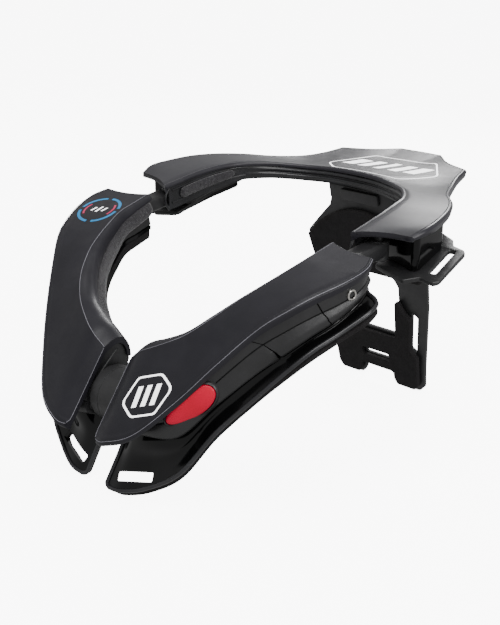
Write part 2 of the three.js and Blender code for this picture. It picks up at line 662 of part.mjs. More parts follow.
// Frame of the screw on the shell's outer wall near the joint line.
const SCREW_AT = 0.155;
const SCREW_LIFT = 1.6; // above the parting line
function screwFrame() {
  const { outerParting } = shellCorners(SCREW_AT);
  const centre = halfPlace(SCREW_AT, outerParting[0], outerParting[1] + SCREW_LIFT);
  const { outward } = halfStation(SCREW_AT);
  const upward = new THREE.Vector3(0, 0, 1);
  return { centre, outward, upward, lengthwise: upward.clone().cross(outward) };
}

function atScrew(geometry, outwards) {
  const f = screwFrame();
  return aim(geometry, f.lengthwise, f.upward, f.outward,
    f.centre.clone().addScaledVector(f.outward, outwards));
}

function ringOutline(radius, sides) {
  return Array.from({ length: sides }, (_, i) => {
    const angle = (2 * Math.PI * i) / sides;
    return [radius * Math.cos(angle), radius * Math.sin(angle)];
  });
}

const BARREL_SIDES = 24;
const SCREW_PROUD = 0.9;
const screwGeometry = cut(
  atScrew(plate(ringOutline(SCREW_RADIUS, 16), [], SCREW_LENGTH, 0.3), SCREW_PROUD - SCREW_LENGTH),
  atScrew(plate(ringOutline(SCREW_SOCKET_RADIUS, 6), [], SCREW_LENGTH), SCREW_PROUD - 1.5),
);
const screwHole = atScrew(
  plate(ringOutline(SCREW_RADIUS + GAP, 16), [], SCREW_LENGTH * 3), SCREW_PROUD - SCREW_LENGTH - GAP);

// Tongue: a bar from inside the shell to the hinge barrel under the rear arm.
function tongueBody(grow) {
  const side = BARREL_RADIUS + grow;
  const front = -TONGUE_TENON - grow;
  const bar = plate(
    [[PIVOT_X - side, front], [PIVOT_X + side, front], [PIVOT_X + side, PIVOT_Y],
      [PIVOT_X - side, PIVOT_Y]],
    [], TONGUE_HEIGHT + 2 * grow).translate(0, 0, TONGUE_TOP - TONGUE_HEIGHT - grow);
  bar.applyMatrix4(risingBack(TONGUE_SLOPE, PIVOT_Y));
  const barrel = plate(ringOutline(side, BARREL_SIDES), [], BARREL_HEIGHT + 2 * grow)
    .translate(PIVOT_X, PIVOT_Y, TONGUE_TOP - BARREL_HEIGHT - grow);
  return toGeometry(toSolid(bar).add(toSolid(barrel)));
}

// Latch: a drum carried by one half between the two end plugs.
const END_X = CENTRE_GAP / 2;
const drumLength = CENTRE_GAP - 2 * GAP;
const drumGeometry = new THREE.CylinderGeometry(DRUM_RADIUS, DRUM_RADIUS, drumLength, 28)
  .rotateZ(Math.PI / 2).translate(0, DRUM_Y, DRUM_Z);

// Front half pieces
const CAVITY_START = 0.02;
const CAVITY_END = 1.005;
const cavity = sweep(cavitySection, halfPlace, HALF_STEPS, CAVITY_START, CAVITY_END);
const halfTable = sweep(halfTableSection, halfPlace, HALF_STEPS);
const upperShell = cut(sweep(upperShellSection, halfPlace, HALF_STEPS),
  cavity, buttonPocket, screwHole, tongueBody(GAP));
const lowerShell = cut(sweep(lowerShellSection, halfPlace, HALF_STEPS),
  cavity, buttonPocket, screwHole, tongueBody(GAP));
const PAD_START = 0.01;
const PAD_END = 0.84;
const neckPad = sweep(neckPadSection, halfPlace, HALF_STEPS, PAD_START, PAD_END);

// Strap slot near the front edge of the chest plate, cut square to the plate.
const SLOT_AT = 0.875;
const SLOT_REACH = 0.05;
const SLOT_DOWN = 0.5; // share of the plate's lower flank above the slot
function chestSlot() {
  const point = (t, share) => {
    const [, , middle, edge] = plateLine(t);
    return halfPlace(t,
      middle[0] + (edge[0] - middle[0]) * share, middle[1] + (edge[1] - middle[1]) * share);
  };
  const centre = point(SLOT_AT, SLOT_DOWN);
  const lengthwise = point(SLOT_AT - SLOT_REACH, SLOT_DOWN)
    .sub(point(SLOT_AT + SLOT_REACH, SLOT_DOWN)).normalize();
  const down = point(SLOT_AT, 1).sub(point(SLOT_AT, 0));
  const outward = lengthwise.clone().cross(down).normalize();
  const upward = outward.clone().cross(lengthwise).normalize();
  const x = CHEST_SLOT_LENGTH / 2;
  const y = CHEST_SLOT_WIDTH / 2;
  const depth = 30;
  const prism = plate([[-x, -y], [x, -y], [x, y], [-x, y]], [], depth).translate(0, 0, -depth / 2);
  return aim(prism, lengthwise, upward, outward, centre);
}
const slotTool = chestSlot();
const chestPlate = cut(sweep(chestPlateSection, halfPlace, HALF_STEPS), slotTool);
const chestFoam = cut(sweep(chestFoamSection, halfPlace, HALF_STEPS), slotTool);

// Plug that closes a half's hollow front end beside the latch drum.
const PLUG_FROM = 0.978;
const PLUG_TO = 0.996;
function endPlugSection(t) {
  return insetOutline(hollowCorners(t), SHELL_WALL + GAP);
}
const endPlug = sweep(endPlugSection, halfPlace, 2, PLUG_FROM, PLUG_TO);

// Rear part: edge points and section sizes at position t, for x from one arm to the other.
function rearStation(t) {
  const share = 1 - Math.abs(2 * t - 1);
  const side = t <= 0.5 ? 1 : -1;
  const edge = (key) => along(REAR_EDGES, key, share);
  const inner = new THREE.Vector3(
    side * edge('inX') * REAR_HALF_WIDTH, edge('inY') * REAR_REACH, edge('inRise') * REAR_RISE);
  const outer = new THREE.Vector3(
    side * edge('outX') * REAR_HALF_WIDTH, edge('outY') * REAR_REACH, edge('outRise') * REAR_RISE);
  const width = Math.hypot(outer.x - inner.x, outer.y - inner.y);
  const outward = new THREE.Vector3((outer.x - inner.x) / width, (outer.y - inner.y) / width, 0);
  return {
    inner, outer, outward, width,
    fall: outer.z - inner.z,
    sag: edge('sag') * REAR_SAG,
    wall: edge('wall') * WALL_HEIGHT,
    ridge: edge('ridge') * RIDGE_HEIGHT,
  };
}

function rearPlace(t, u, v) {
  const s = rearStation(t);
  return s.inner.clone().addScaledVector(s.outward, u).add(new THREE.Vector3(0, 0, v));
}

function rearTableSection(t) {
  const s = rearStation(t);
  const { width, fall, sag } = s;
  const middle = [width * 0.5, fall * 0.5 - sag];
  const lip = 1.2;
  return [
    [lip, 0],
    middle,
    [width - RIM_BEVEL, fall],
    [width, fall - RIM_BEVEL],
    [width - RIM_BEVEL / 2, fall - RIM_DEPTH],
    [width - RIM_BEVEL / 2 - RIM_WIDTH, fall - RIM_DEPTH],
    [width - RIM_BEVEL / 2 - RIM_WIDTH, fall - TABLE_THICKNESS],
    [middle[0], middle[1] - TABLE_THICKNESS],
    [lip, -TABLE_THICKNESS],
    [0, -TABLE_THICKNESS],
    [0, -lip],
  ];
}

function rearWallSection(t) {
  const { wall, ridge } = rearStation(t);
  const top = -TABLE_THICKNESS - GAP;
  const span = wall + top;
  const face = WALL_INSET;
  return [
    [face + WALL_DEPTH, top],
    [face, top],
    [face, top - span * 0.08],
    [face - ridge, top - span * 0.24],
    [face, top - span * 0.42],
    [face - ridge * 0.9, top - span * 0.64],
    [face, top - span * 0.86],
    [face + 0.6, -wall],
    [face + WALL_DEPTH, -wall],
  ];
}

const rearTable = sweep(rearTableSection, rearPlace, REAR_STEPS * 2);
const WALL_FROM = 0.012;
const rearWall = sweep(rearWallSection, rearPlace, REAR_STEPS * 2, WALL_FROM, 1 - WALL_FROM);

// Tongue with the hinge pin that turns under the arm.
const pinTop = undersideAt(rearTable, PIVOT_X, PIVOT_Y) - PIN_SLACK;
const pin = plate(ringOutline(PIN_RADIUS, 16), [], pinTop - TONGUE_TOP + BARREL_HEIGHT / 2)
  .translate(PIVOT_X, PIVOT_Y, TONGUE_TOP - BARREL_HEIGHT / 2);
const tongue = toGeometry(toSolid(tongueBody(0)).add(toSolid(pin)));

// Pieces of the left arm, mirrored for the right
function rearPadSection(t) {
  const { wall } = rearStation(t);
  const face = WALL_INSET - GAP;
  const top = -wall * 0.34;
  const bottom = -wall * 0.72;
  return [
    [face, top],
    [face - REAR_PAD_THICKNESS * 0.7, top - 0.6],
    [face - REAR_PAD_THICKNESS, (top + bottom) / 2],
    [face - REAR_PAD_THICKNESS * 0.7, bottom + 0.6],
    [face, bottom],
  ];
}

const REAR_PAD_FROM = 0.042;
const REAR_PAD_TO = 0.155;
const rearPad = sweep(rearPadSection, rearPlace, 10, REAR_PAD_FROM, REAR_PAD_TO);

function strapPoints(rows) {
  return rows.map(({ x, y }) => [
    STRAP_PLATE_X + x * STRAP_PLATE_WIDTH, STRAP_PLATE_Y + y * STRAP_PLATE_LENGTH,
  ]);
}

// Slot for the harness strap, along the outer side of a strap plate.
function strapSlot() {
  const [start, end] = strapPoints(STRAP_SLOT_ENDS).map(([x, y]) => new THREE.Vector2(x, y));
  const run = end.clone().sub(start).normalize();
  const side = new THREE.Vector2(-run.y, run.x).multiplyScalar(STRAP_SLOT_WIDTH / 2);
  return [
    start.clone().sub(side), end.clone().sub(side), end.clone().add(side), start.clone().add(side),
  ].map((p) => [p.x, p.y]);
}

const strapRise = risingBack(STRAP_PLATE_SLOPE, STRAP_PLATE_Y);
const strapPlateBottom = STRAP_PLATE_HEIGHT - STRAP_PLATE_THICKNESS;
const strapPlate = plate(strapPoints(STRAP_PLATE_OUTLINE), [strapSlot()], STRAP_PLATE_THICKNESS, 0.5)
  .translate(0, 0, strapPlateBottom).applyMatrix4(strapRise);
const strapFoam = plate(strapPoints(STRAP_FOAM_OUTLINE), [], STRAP_FOAM_THICKNESS, 0.8)
  .translate(0, 0, strapPlateBottom - GAP - STRAP_FOAM_THICKNESS).applyMatrix4(strapRise);

// Box under an arm, from its strap plate to the underside of the rear table.
function armBox() {
  const points = strapPoints(BOX_OUTLINE);
  const flat = points.map(([x, y]) => new THREE.Vector2(x, y));
  const ring = (height) => points.map(([x, y]) => new THREE.Vector3(x, y, height(x, y)));
  const bottom = (x, y) => STRAP_PLATE_HEIGHT + GAP + STRAP_PLATE_SLOPE * (y - STRAP_PLATE_Y);
  const top = (x, y) => undersideAt(rearTable, x, y) - TABLE_SEAT;
  return loft([ring(bottom), ring(top)], [flat, flat]);
}

// Back support: its own flat frame, x across, y up its face, z out of its front.
const supportHeight = SUPPORT_TOP_Z - SUPPORT_BOTTOM_Z;
const faceHeight = Math.hypot(supportHeight, SUPPORT_LEAN);
const supportUp = new THREE.Vector3(0, -SUPPORT_LEAN, supportHeight).normalize();
const supportOut = new THREE.Vector3(1, 0, 0).cross(supportUp);
const supportAcross = supportUp.clone().cross(supportOut);
const supportTop = new THREE.Vector3(0, SUPPORT_TOP_Y, SUPPORT_TOP_Z);

function onSupport(geometry, outwards) {
  return aim(geometry, supportAcross, supportUp, supportOut,
    supportTop.clone().addScaledVector(supportOut, outwards));
}

function supportPoints(rows) {
  return rows.map(({ x, down }) => [x * SUPPORT_HALF_WIDTH, -down * faceHeight]);
}

function mirrored(points) {
  return [...points, ...points.map(([x, y]) => [-x, y]).reverse()];
}

function rectangle(halfWidth, top, bottom) {
  return [[halfWidth, top], [halfWidth, bottom], [-halfWidth, bottom], [-halfWidth, top]];
}

function lowerSlot(grow) {
  return rectangle(LOWER_SLOT.x * SUPPORT_HALF_WIDTH + grow,
    -LOWER_SLOT.top * faceHeight + grow, -LOWER_SLOT.bottom * faceHeight - grow);
}

function legOpening(grow) {
  const points = supportPoints(LEG_OPENING).map(([x, y], i) => [
    x + grow, y + (i === 0 ? -grow : 0) + (i === LEG_OPENING.length - 1 ? grow : 0)]);
  return mirrored(points);
}

// Slot down the outer side of a leg.
function legSlot(side, grow) {
  const top = [0.77 * SUPPORT_HALF_WIDTH, -0.575 * faceHeight];
  const lean = 0.13;
  const cut45 = LEG_SLOT_WIDTH * 0.7;
  const wide = LEG_SLOT_WIDTH / 2 + grow;
  return [
    [top[0] - wide, top[1] + grow],
    [top[0] + wide, top[1] - cut45 + grow],
    [top[0] + wide - LEG_SLOT_LENGTH * lean, top[1] - LEG_SLOT_LENGTH - cut45 - grow],
    [top[0] - wide - LEG_SLOT_LENGTH * lean, top[1] - LEG_SLOT_LENGTH - grow],
  ].map(([x, y]) => [side * x, y]);
}

const supportOutline = mirrored(supportPoints(SUPPORT_OUTLINE));
const backSupport = onSupport(plate(supportOutline,
  [legOpening(0), lowerSlot(0), legSlot(1, 0), legSlot(-1, 0)], SUPPORT_THICKNESS, 0.4), 0);

// Upper back pad: an arched top edge and the support's own sides.
function upperPadOutline() {
  const points = [];
  const arch = { top: 0.1, ends: 0.2, halfWidth: 0.74 };
  const steps = 8;
  for (let i = 0; i <= steps; i += 1) {
    const x = (i / steps) * arch.halfWidth;
    const fall = (arch.ends - arch.top) * (i / steps) ** 2;
    points.push([x * SUPPORT_HALF_WIDTH, -(arch.top + fall) * faceHeight]);
  }
  const sides = [{ x: 0.95, down: 0.275 }, { x: 0.89, down: 0.37 }, { x: 0.86, down: PAD_SPLIT.upperEnd }];
  points.push(...supportPoints(sides));
  points.shift();
  const top = [0, -arch.top * faceHeight];
  return [top, ...points, ...points.map(([x, y]) => [-x, y]).reverse()];
}
const padSeat = SUPPORT_THICKNESS + GAP;
const upperBackPad = onSupport(plate(upperPadOutline(), [], BACK_PAD_THICKNESS, 1), padSeat);

// Lower back pad: an H over the legs and cross bars, stepped in round the leg slots.
const LOWER_PAD_OUTLINE = [
  { x: 0.48, down: 0.52 }, { x: 0.56, down: 0.575 }, { x: 0.67, down: 0.6 }, { x: 0.6, down: 0.76 },
  { x: 0.71, down: 0.805 }, { x: 0.68, down: 0.955 }, { x: 0.62, down: 0.985 }, { x: 0.33, down: 0.985 },
  { x: 0.28, down: 0.955 }, { x: 0.28, down: 0.92 },
];
const LOWER_PAD_INNER = [{ x: 0.42, down: 0.53 }, { x: 0.4, down: 0.61 }, { x: 0.37, down: 0.725 }];
const lowerPadHalf = supportPoints(LOWER_PAD_OUTLINE);
const lowerPadInner = supportPoints(LOWER_PAD_INNER);
const lowerPadOutline = [
  ...lowerPadInner.slice().reverse(),
  ...lowerPadHalf,
  ...lowerPadHalf.map(([x, y]) => [-x, y]).reverse(),
  ...lowerPadInner.map(([x, y]) => [-x, y]),
];
const lowerBackPad = onSupport(
  plate(lowerPadOutline, [lowerSlot(0.6)], BACK_PAD_THICKNESS, 1), padSeat);

// Clip tab on the front of the support under the inner wall, and the hub behind it.
const clipTop = -1.5;
const clip = onSupport(plate(rectangle(CLIP_WIDTH / 2, clipTop, clipTop - CLIP_HEIGHT), [],
  CLIP_THICKNESS, 0.3), SUPPORT_THICKNESS + GAP);

function hub() {
  const front = SUPPORT_TOP_Y + 2 * GAP;
  const lean = SUPPORT_LEAN / supportHeight;
  const rings = [];
  const flats = [];
  for (let i = 0; i <= HUB_STEPS; i += 1) {
    const x = HUB_HALF_WIDTH * ((2 * i) / HUB_STEPS - 1);
    const top = (y) => undersideAt(rearTable, x, y) - HUB_SEAT;
    const face = (z) => front + Math.max(SUPPORT_TOP_Z - z, 0) * lean;
    const frontTop = top(face(0));
    const middle = front + HUB_LENGTH / 2;
    const back = front + HUB_LENGTH;
    const outline = [
      [face(0), frontTop], [middle, top(middle)], [back, top(back)],
      [back - HUB_CHAMFER * 0.7, HUB_BOTTOM * 0.5],
      [face(HUB_BOTTOM) + HUB_CHAMFER, HUB_BOTTOM], [face(HUB_BOTTOM), HUB_BOTTOM],
      [face(SUPPORT_TOP_Z), SUPPORT_TOP_Z],
    ];
    rings.push(outline.map(([y, z]) => new THREE.Vector3(x, y, z)));
    flats.push(outline.map(([y, z]) => new THREE.Vector2(y, z)));
  }
  return loft(rings, flats);
}

// Assembly
const brace = new THREE.Group();

function piece(parent, name, geometry, finish) {
  const clean = geometry.index ? geometry : mergeVertices(geometry, 1e-4);
  const mesh = new THREE.Mesh(clean, new THREE.MeshStandardMaterial(finish));
  mesh.name = name;
  parent.add(mesh);
  return mesh;
}

const handed = [
  ['table', halfTable, COLOURS.table],
  ['upper_shell', upperShell, COLOURS.shell],
  ['lower_shell', lowerShell, COLOURS.shell],
  ['neck_pad', neckPad, COLOURS.velvet],
  ['release_button', buttonGeometry, COLOURS.button],
  ['screw', screwGeometry, COLOURS.chrome],
  ['chest_plate', chestPlate, COLOURS.gloss],
  ['chest_foam', chestFoam, COLOURS.foam],
  ['tongue', tongue, COLOURS.shell],
  ['end_plug', endPlug, COLOURS.drum],
  ['rear_neck_pad', rearPad, COLOURS.velvet],
  ['arm_box', armBox(), COLOURS.gloss],
  ['strap_plate', strapPlate, COLOURS.shell],
  ['strap_foam', strapFoam, COLOURS.foam],
];
[['left', 1], ['right', -1]].forEach(([side, sign]) => {
  const half = new THREE.Group();
  half.scale.x = sign;
  handed.forEach(([name, geometry, finish]) => piece(half, `${side}_${name}`, geometry, finish));
  brace.add(half);
});
piece(brace, 'latch_drum', drumGeometry, COLOURS.drum);
piece(brace, 'rear_table', rearTable, COLOURS.rearTable);
piece(brace, 'rear_inner_wall', rearWall, COLOURS.gloss);
piece(brace, 'hub', hub(), COLOURS.shell);
piece(brace, 'clip_tab', clip, COLOURS.shell);
piece(brace, 'back_support', backSupport, COLOURS.shell);
piece(brace, 'upper_back_pad', upperBackPad, COLOURS.foam);
piece(brace, 'lower_back_pad', lowerBackPad, COLOURS.foam);

// Turns the brace so that its chest plates and the feet of its back support stand on one floor.
function lowestPoint(root, keep) {
  let lowest = null;
  root.updateMatrixWorld(true);
  root.traverse((node) => {
    if (node.isMesh) {
      const { position } = node.geometry.attributes;
      for (let i = 0; i < position.count; i += 1) {
        const p = new THREE.Vector3().fromBufferAttribute(position, i).applyMatrix4(node.matrixWorld);
        if (keep(p) && (lowest === null || p.z < lowest.z)) {
          lowest = p;
        }
      }
    }
  });
  return lowest;
}

const SETTLE_ROUNDS = 4;
for (let round = 0; round < SETTLE_ROUNDS; round += 1) {
  const front = lowestPoint(brace, (p) => p.y < 0);
  const rear = lowestPoint(brace, (p) => p.y > 0);
  brace.rotation.x += Math.atan2(front.z - rear.z, rear.y - front.y);
}

// Origin at the centre of the footprint, on the floor.
const model = new THREE.Group();
model.add(brace);
model.updateMatrixWorld(true);
const box = new THREE.Box3().setFromObject(model, true);
const centre = box.getCenter(new THREE.Vector3());
brace.position.set(-centre.x, -centre.y, -box.min.z);

export default model;
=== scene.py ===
"""Looks of a motocross neck brace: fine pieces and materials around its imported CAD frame.

Brace frame: millimetres, x to the wearer's left, y to the rear, z up, the symmetry plane at
x = 0 and the joint line between the rear part and the halves at y = 0, z = 0. rest_matrix()
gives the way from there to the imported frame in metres.
"""
import json
import math
from functools import lru_cache
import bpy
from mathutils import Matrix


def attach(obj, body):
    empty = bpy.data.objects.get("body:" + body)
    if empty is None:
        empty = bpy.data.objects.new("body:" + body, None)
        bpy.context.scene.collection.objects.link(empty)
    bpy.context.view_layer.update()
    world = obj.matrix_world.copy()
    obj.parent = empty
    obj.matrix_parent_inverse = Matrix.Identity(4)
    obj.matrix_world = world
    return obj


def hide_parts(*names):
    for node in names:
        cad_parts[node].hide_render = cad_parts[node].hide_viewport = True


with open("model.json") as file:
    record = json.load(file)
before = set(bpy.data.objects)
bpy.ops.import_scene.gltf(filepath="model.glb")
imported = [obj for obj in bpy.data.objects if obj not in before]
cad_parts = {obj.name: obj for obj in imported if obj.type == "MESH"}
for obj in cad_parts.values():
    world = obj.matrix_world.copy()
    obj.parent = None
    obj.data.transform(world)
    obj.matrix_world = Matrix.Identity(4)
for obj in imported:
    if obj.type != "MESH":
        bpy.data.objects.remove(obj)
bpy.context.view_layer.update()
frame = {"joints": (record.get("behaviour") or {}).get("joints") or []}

from types import SimpleNamespace

import bmesh
import bpy
import numpy as np
from mathutils import Matrix, Vector
from mathutils.bvhtree import BVHTree

MM = 0.001
HINGE = (86, 34, -8)  # point of the left hinge's axis that the record gives

# Overall sizes, as in the part's source
HALF_WIDTH = 113
FRONT_REACH = 113.5
FRONT_DROP = 99
REAR_HALF_WIDTH = 114
REAR_REACH = 191
REAR_RISE = 11.6
CENTRE_GAP = 23
GAP = 0.3
TABLE_SEAT = 0.5
TABLE_THICKNESS = 2.8
RIM_WIDTH = 2
RIM_BEVEL = 1.8
RIM_DEPTH = 5
RIM_BACK = RIM_BEVEL / 2 + RIM_WIDTH  # from a table's edge to the inner face of its rim
SHELL_WALL = 2.4
PARTING_DEPTH = 11
NECK_PAD_THICKNESS = 4
PLATE_THICKNESS = 2.4
CHEST_FOAM_THICKNESS = 5

# Edges of a front half's table and its section, from the joint line to the throat.
# The first six columns are shares of HALF_WIDTH, FRONT_REACH and FRONT_DROP, brow is a share
# of the roll, and the others are shares of the section sizes in HALF_SIZES.
THROAT = CENTRE_GAP / 2 / HALF_WIDTH
HALF_COLUMNS = ("in_x", "in_y", "in_drop", "out_x", "out_y", "out_drop", "roll", "brow",
                "shoulder", "crown", "pad", "inner_depth", "outer_depth", "inset", "keel_back",
                "keel_drop", "flare", "plate", "rim")
HALF_ROWS = np.array([
    (.677, .057, -.004, .973, 0, 0, .21, .8, .31, 0, .55, .82, .54, .18, .5, .4, .95, .24, 1),
    (.67, -.043, .026, 1, -.088, .032, .21, .8, .4, 0, .63, .82, .59, .16, .6, .4, .6, .22, 1),
    (.661, -.152, .058, .978, -.211, .076, .21, .8, .55, 0, .7, .82, .75, .18, .6, .2, .2, .2, 1),
    (.634, -.251, .102, .92, -.339, .129, .24, .75, .7, 0, .86, .92, .86, .18, .6, .1, .25, .18, 1),
    (.602, -.347, .15, .858, -.441, .192, .32, .7, .8, 0, .95, .97, .94, .18, .6, 0, .25, .22, 1),
    (.559, -.449, .209, .765, -.546, .293, .47, .68, .95, 0, 1, 1, 1, .18, .65, 0, .15, .33, .95),
    (.487, -.564, .303, .64, -.687, .485, .71, .68, 1, .1, .98, .98, .98, .18, .7, 0, .1, .41, .85),
    (.394, -.648, .4, .513, -.815, .687, .89, .7, .95, .25, .92, .93, .95, .2, .8, 0, -.08, .63,
     .7),
    (.274, -.709, .475, .354, -.947, .889, 1, .8, .85, .5, .82, .86, .72, .64, .8, .5, 0, .96, .55),
    (.177, -.74, .53, .2, -.998, .97, 1, .97, 1, .9, .7, .8, .8, .89, .9, .3, .5, 1, .5),
    (THROAT, -.732, .596, THROAT, -.985, 1, .97, 1, 1, 1, .65, .76, .73, 1, 1, 1, .95, 1.02, .5),
])
HALF_SIZES = {"roll": 19, "shoulder": 11, "crown": 5, "pad": 22, "inner_depth": 24.5,
              "outer_depth": 28, "inset": 16.4, "keel_back": 10, "keel_drop": 5, "flare": 8,
              "plate": 32.5, "rim": RIM_DEPTH}

# Edges of the rear table from an arm end to the symmetry plane, in shares of
# REAR_HALF_WIDTH, REAR_REACH and REAR_RISE, with the sag, inner wall and its ridges.
REAR_COLUMNS = ("in_x", "in_y", "in_rise", "out_x", "out_y", "out_rise", "sag", "wall", "ridge")
REAR_ROWS = np.array([
    (.669, .105, .28, .978, .16, .42, 0, 1.02, 0),
    (.662, .173, .47, 1, .215, .71, 0, 1.03, 0),
    (.653, .246, .69, .984, .283, .84, 0, 1, 0),
    (.627, .334, .88, .937, .372, .97, 0, .89, 0),
    (.582, .414, .94, .86, .453, 1, 0, .72, 0),
    (.482, .495, .91, .754, .529, .95, .2, .66, .8),
    (.386, .542, .86, .662, .615, .76, .5, .65, 1),
    (.289, .576, .82, .568, .715, .65, .8, .65, 1),
    (.193, .597, .82, .504, .796, .73, .9, .65, 1),
    (.132, .605, .82, .459, .88, .91, 1, .65, 1),
    (.079, .608, .82, .286, .924, .95, 1, .65, 1),
    (.035, .61, .82, .147, .999, .99, 1, .65, 1),
    (0, .61, .82, 0, 1, 1, 1, .65, 1),
])
REAR_CORNERS = (9, 11)  # rows that are sharp corners of the outer edge
REAR_SIZES = {"sag": 2.5, "wall": 17, "ridge": 1.7}
WALL_INSET = 0.9
WALL_DEPTH = 2
REAR_PAD_THICKNESS = 2.2
REAR_PAD_SPAN = (0.042, 0.155)
REAR_PAD_LEVELS = (0.33, 0.73)  # its top and bottom in shares of the wall's height


def along(rows, t, corners=()):
    """Smooth row of values at position t (0 to 1) along a table of rows."""
    place = t * (len(rows) - 1)
    i = max(min(int(place), len(rows) - 2), 0)
    f = place - i
    start, end = rows[i], rows[i + 1]
    step = end - start
    before = (end - rows[i - 1]) / 2 if i > 0 and i not in corners else step
    after = (rows[i + 2] - start) / 2 if i + 2 < len(rows) and i + 1 not in corners else step
    f2, f3 = f * f, f ** 3
    return (start * (2 * f3 - 3 * f2 + 1) + before * (f3 - 2 * f2 + f)
            + end * (3 * f2 - 2 * f3) + after * (f3 - f2))


def rest_matrix():
    """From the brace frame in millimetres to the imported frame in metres, by the left hinge."""
    hinge = next(j for j in frame["joints"] if j["name"] == "left_hinge")
    up = Vector(hinge["axis"])
    across = Vector((1, 0, 0))
    turn = Matrix((across, up.cross(across), up)).transposed()
    offset = Vector(hinge["pos_m"]) - turn @ (Vector(HINGE) * MM)
    return Matrix.Translation(offset) @ turn.to_4x4() @ Matrix.Scale(MM, 4)


REST = rest_matrix()
REST_TURN = np.array(REST.to_3x3())
REST_MOVE = np.array(REST.translation)


# Outlines and sections

TINY = 1e-9
CORNER_SHARE = 0.45  # a rounded corner takes at most this share of a side


def unit(vector):
    return vector / np.linalg.norm(vector)


def circle(count):
    """Evenly spaced angles round a circle."""
    return np.linspace(0, 2 * math.pi, count, endpoint=False)


def clamp(value):
    """Value held between 0 and 1."""
    return min(max(value, 0), 1)


def rounding(share):
    """Height of a quarter circle: 0 at share 0, and 1 from share 1 on."""
    return math.sqrt(1 - (1 - clamp(share)) ** 2)


def rounded(points, radii, parts=4):
    """Closed outline whose corners are turned into short curves; radius 0 keeps a corner."""
    points = np.array(points, float)
    if np.isscalar(radii):
        radii = [radii] * len(points)
    out = []
    for i, (p, radius) in enumerate(zip(points, radii)):
        to_last = points[i - 1] - p
        to_next = points[(i + 1) % len(points)] - p
        last_length, next_length = np.linalg.norm(to_last), np.linalg.norm(to_next)
        if radius == 0 or min(last_length, next_length) < TINY:
            out.append(p)
            continue
        a, b = to_last / last_length, to_next / next_length
        half = math.acos(np.clip(a @ b, -1, 1)) / 2
        tangent = min(radius / max(math.tan(half), 1e-3), CORNER_SHARE * last_length,
                      CORNER_SHARE * next_length)
        for f in np.linspace(0, 1, parts + 1):
            out.append((1 - f) ** 2 * (p + a * tangent) + 2 * f * (1 - f) * p
                       + f * f * (p + b * tangent))
    return np.array(out)


def smooth_line(points, parts):
    """Smooth open curve through points, with parts steps between neighbours."""
    rows = np.array(points, float)
    count = (len(rows) - 1) * parts
    return np.array([along(rows, i / count) for i in range(count + 1)])


def band(line, thickness, start=0.0):
    """Outline of a band of a given thickness under an open line."""
    line = np.array(line, float)
    run = np.gradient(line, axis=0)
    run /= np.linalg.norm(run, axis=1)[:, None]
    side = np.stack([run[:, 1], -run[:, 0]], axis=1)
    return np.concatenate([line + side * start, (line + side * (start + thickness))[::-1]])


# Mesh objects

SHARP_ANGLE = 38  # degrees from which an edge is drawn sharp
SOFT_ANGLE = 60  # the same for domed and padded pieces
WELD = 1e-7  # metres


def in_scene(name, data):
    """New object of some data, in the scene."""
    obj = bpy.data.objects.new(name, data)
    bpy.context.scene.collection.objects.link(obj)
    return obj


def make(name, points, faces, finish, side=1, sharp=SHARP_ANGLE):
    """Mesh object from points of the brace frame, mirrored to the right for side -1."""
    points = np.array(points, float) * (side, 1, 1)
    mesh = bpy.data.meshes.new(name)
    mesh.from_pydata((points @ REST_TURN.T + REST_MOVE).tolist(), [], faces)
    bm = bmesh.new()
    bm.from_mesh(mesh)
    bmesh.ops.remove_doubles(bm, verts=bm.verts, dist=WELD)
    bmesh.ops.recalc_face_normals(bm, faces=bm.faces)
    bm.to_mesh(mesh)
    bm.free()
    mesh.shade_smooth()
    mesh.set_sharp_from_angle(angle=math.radians(sharp))
    mesh.materials.append(finish)
    return in_scene(name, mesh)


def loft_faces(count, rings, closed=False):
    """Faces of rings with count points each; closed joins the last ring to the first."""
    faces = []
    for r in range(rings if closed else rings - 1):
        for k in range(count):
            a, b = r * count + k, r * count + (k + 1) % count
            after = ((r + 1) % rings) * count
            faces.append((a, b, after + (k + 1) % count, after + k))
    if not closed:
        faces.append(tuple(reversed(range(count))))
        faces.append(tuple(range((rings - 1) * count, rings * count)))
    return faces


def loft(name, rings, finish, side=1, closed=False, sharp=SHARP_ANGLE):
    """Object from rings of points, joined one to the next and closed at both ends."""
    rings = np.array(rings)
    return make(name, rings.reshape(-1, 3), loft_faces(rings.shape[1], len(rings), closed),
                finish, side, sharp)


GRID_MARGIN = 0.2  # a leaning end reaches this far along t past the sweep
GRID_COUNT = 80


def sweep(name, section, place, ts, finish, side=1, slants=(0, 0), sharp=SHARP_ANGLE):
    """Loft of section(t), points (u, v), placed by place(t, u, v). slants shift each end of
    the sweep along t for every millimetre down, for an end that leans."""
    if not any(slants):
        return loft(name, [[place(t, u, v) for u, v in section(t)] for t in ts], finish, side,
                    sharp=sharp)
    grid = np.linspace(ts[0] - GRID_MARGIN, ts[-1] + GRID_MARGIN, GRID_COUNT)
    known = np.array([section(t) for t in grid])
    rings = []
    for i, t in enumerate(ts):
        share = i / (len(ts) - 1)
        slant = slants[0] * (1 - share) + slants[1] * share
        ring = []
        for k in range(known.shape[1]):
            moved = t + slant * np.interp(t, grid, known[:, k, 1])
            u, v = (np.interp(moved, grid, known[:, k, axis]) for axis in (0, 1))
            ring.append(place(round(moved, 4), u, v))
        rings.append(ring)
    return loft(name, rings, finish, side, sharp=sharp)


def sides_along(path):
    """Two steady side directions along a line of points."""
    run = np.gradient(path, axis=0)
    run /= np.linalg.norm(run, axis=1)[:, None]
    side = np.cross(run[0], (0.3, 0.2, 1))
    sides = []
    for direction in run:
        side = unit(side - direction * (side @ direction))
        sides.append(side)
    return sides, np.cross(run, sides)


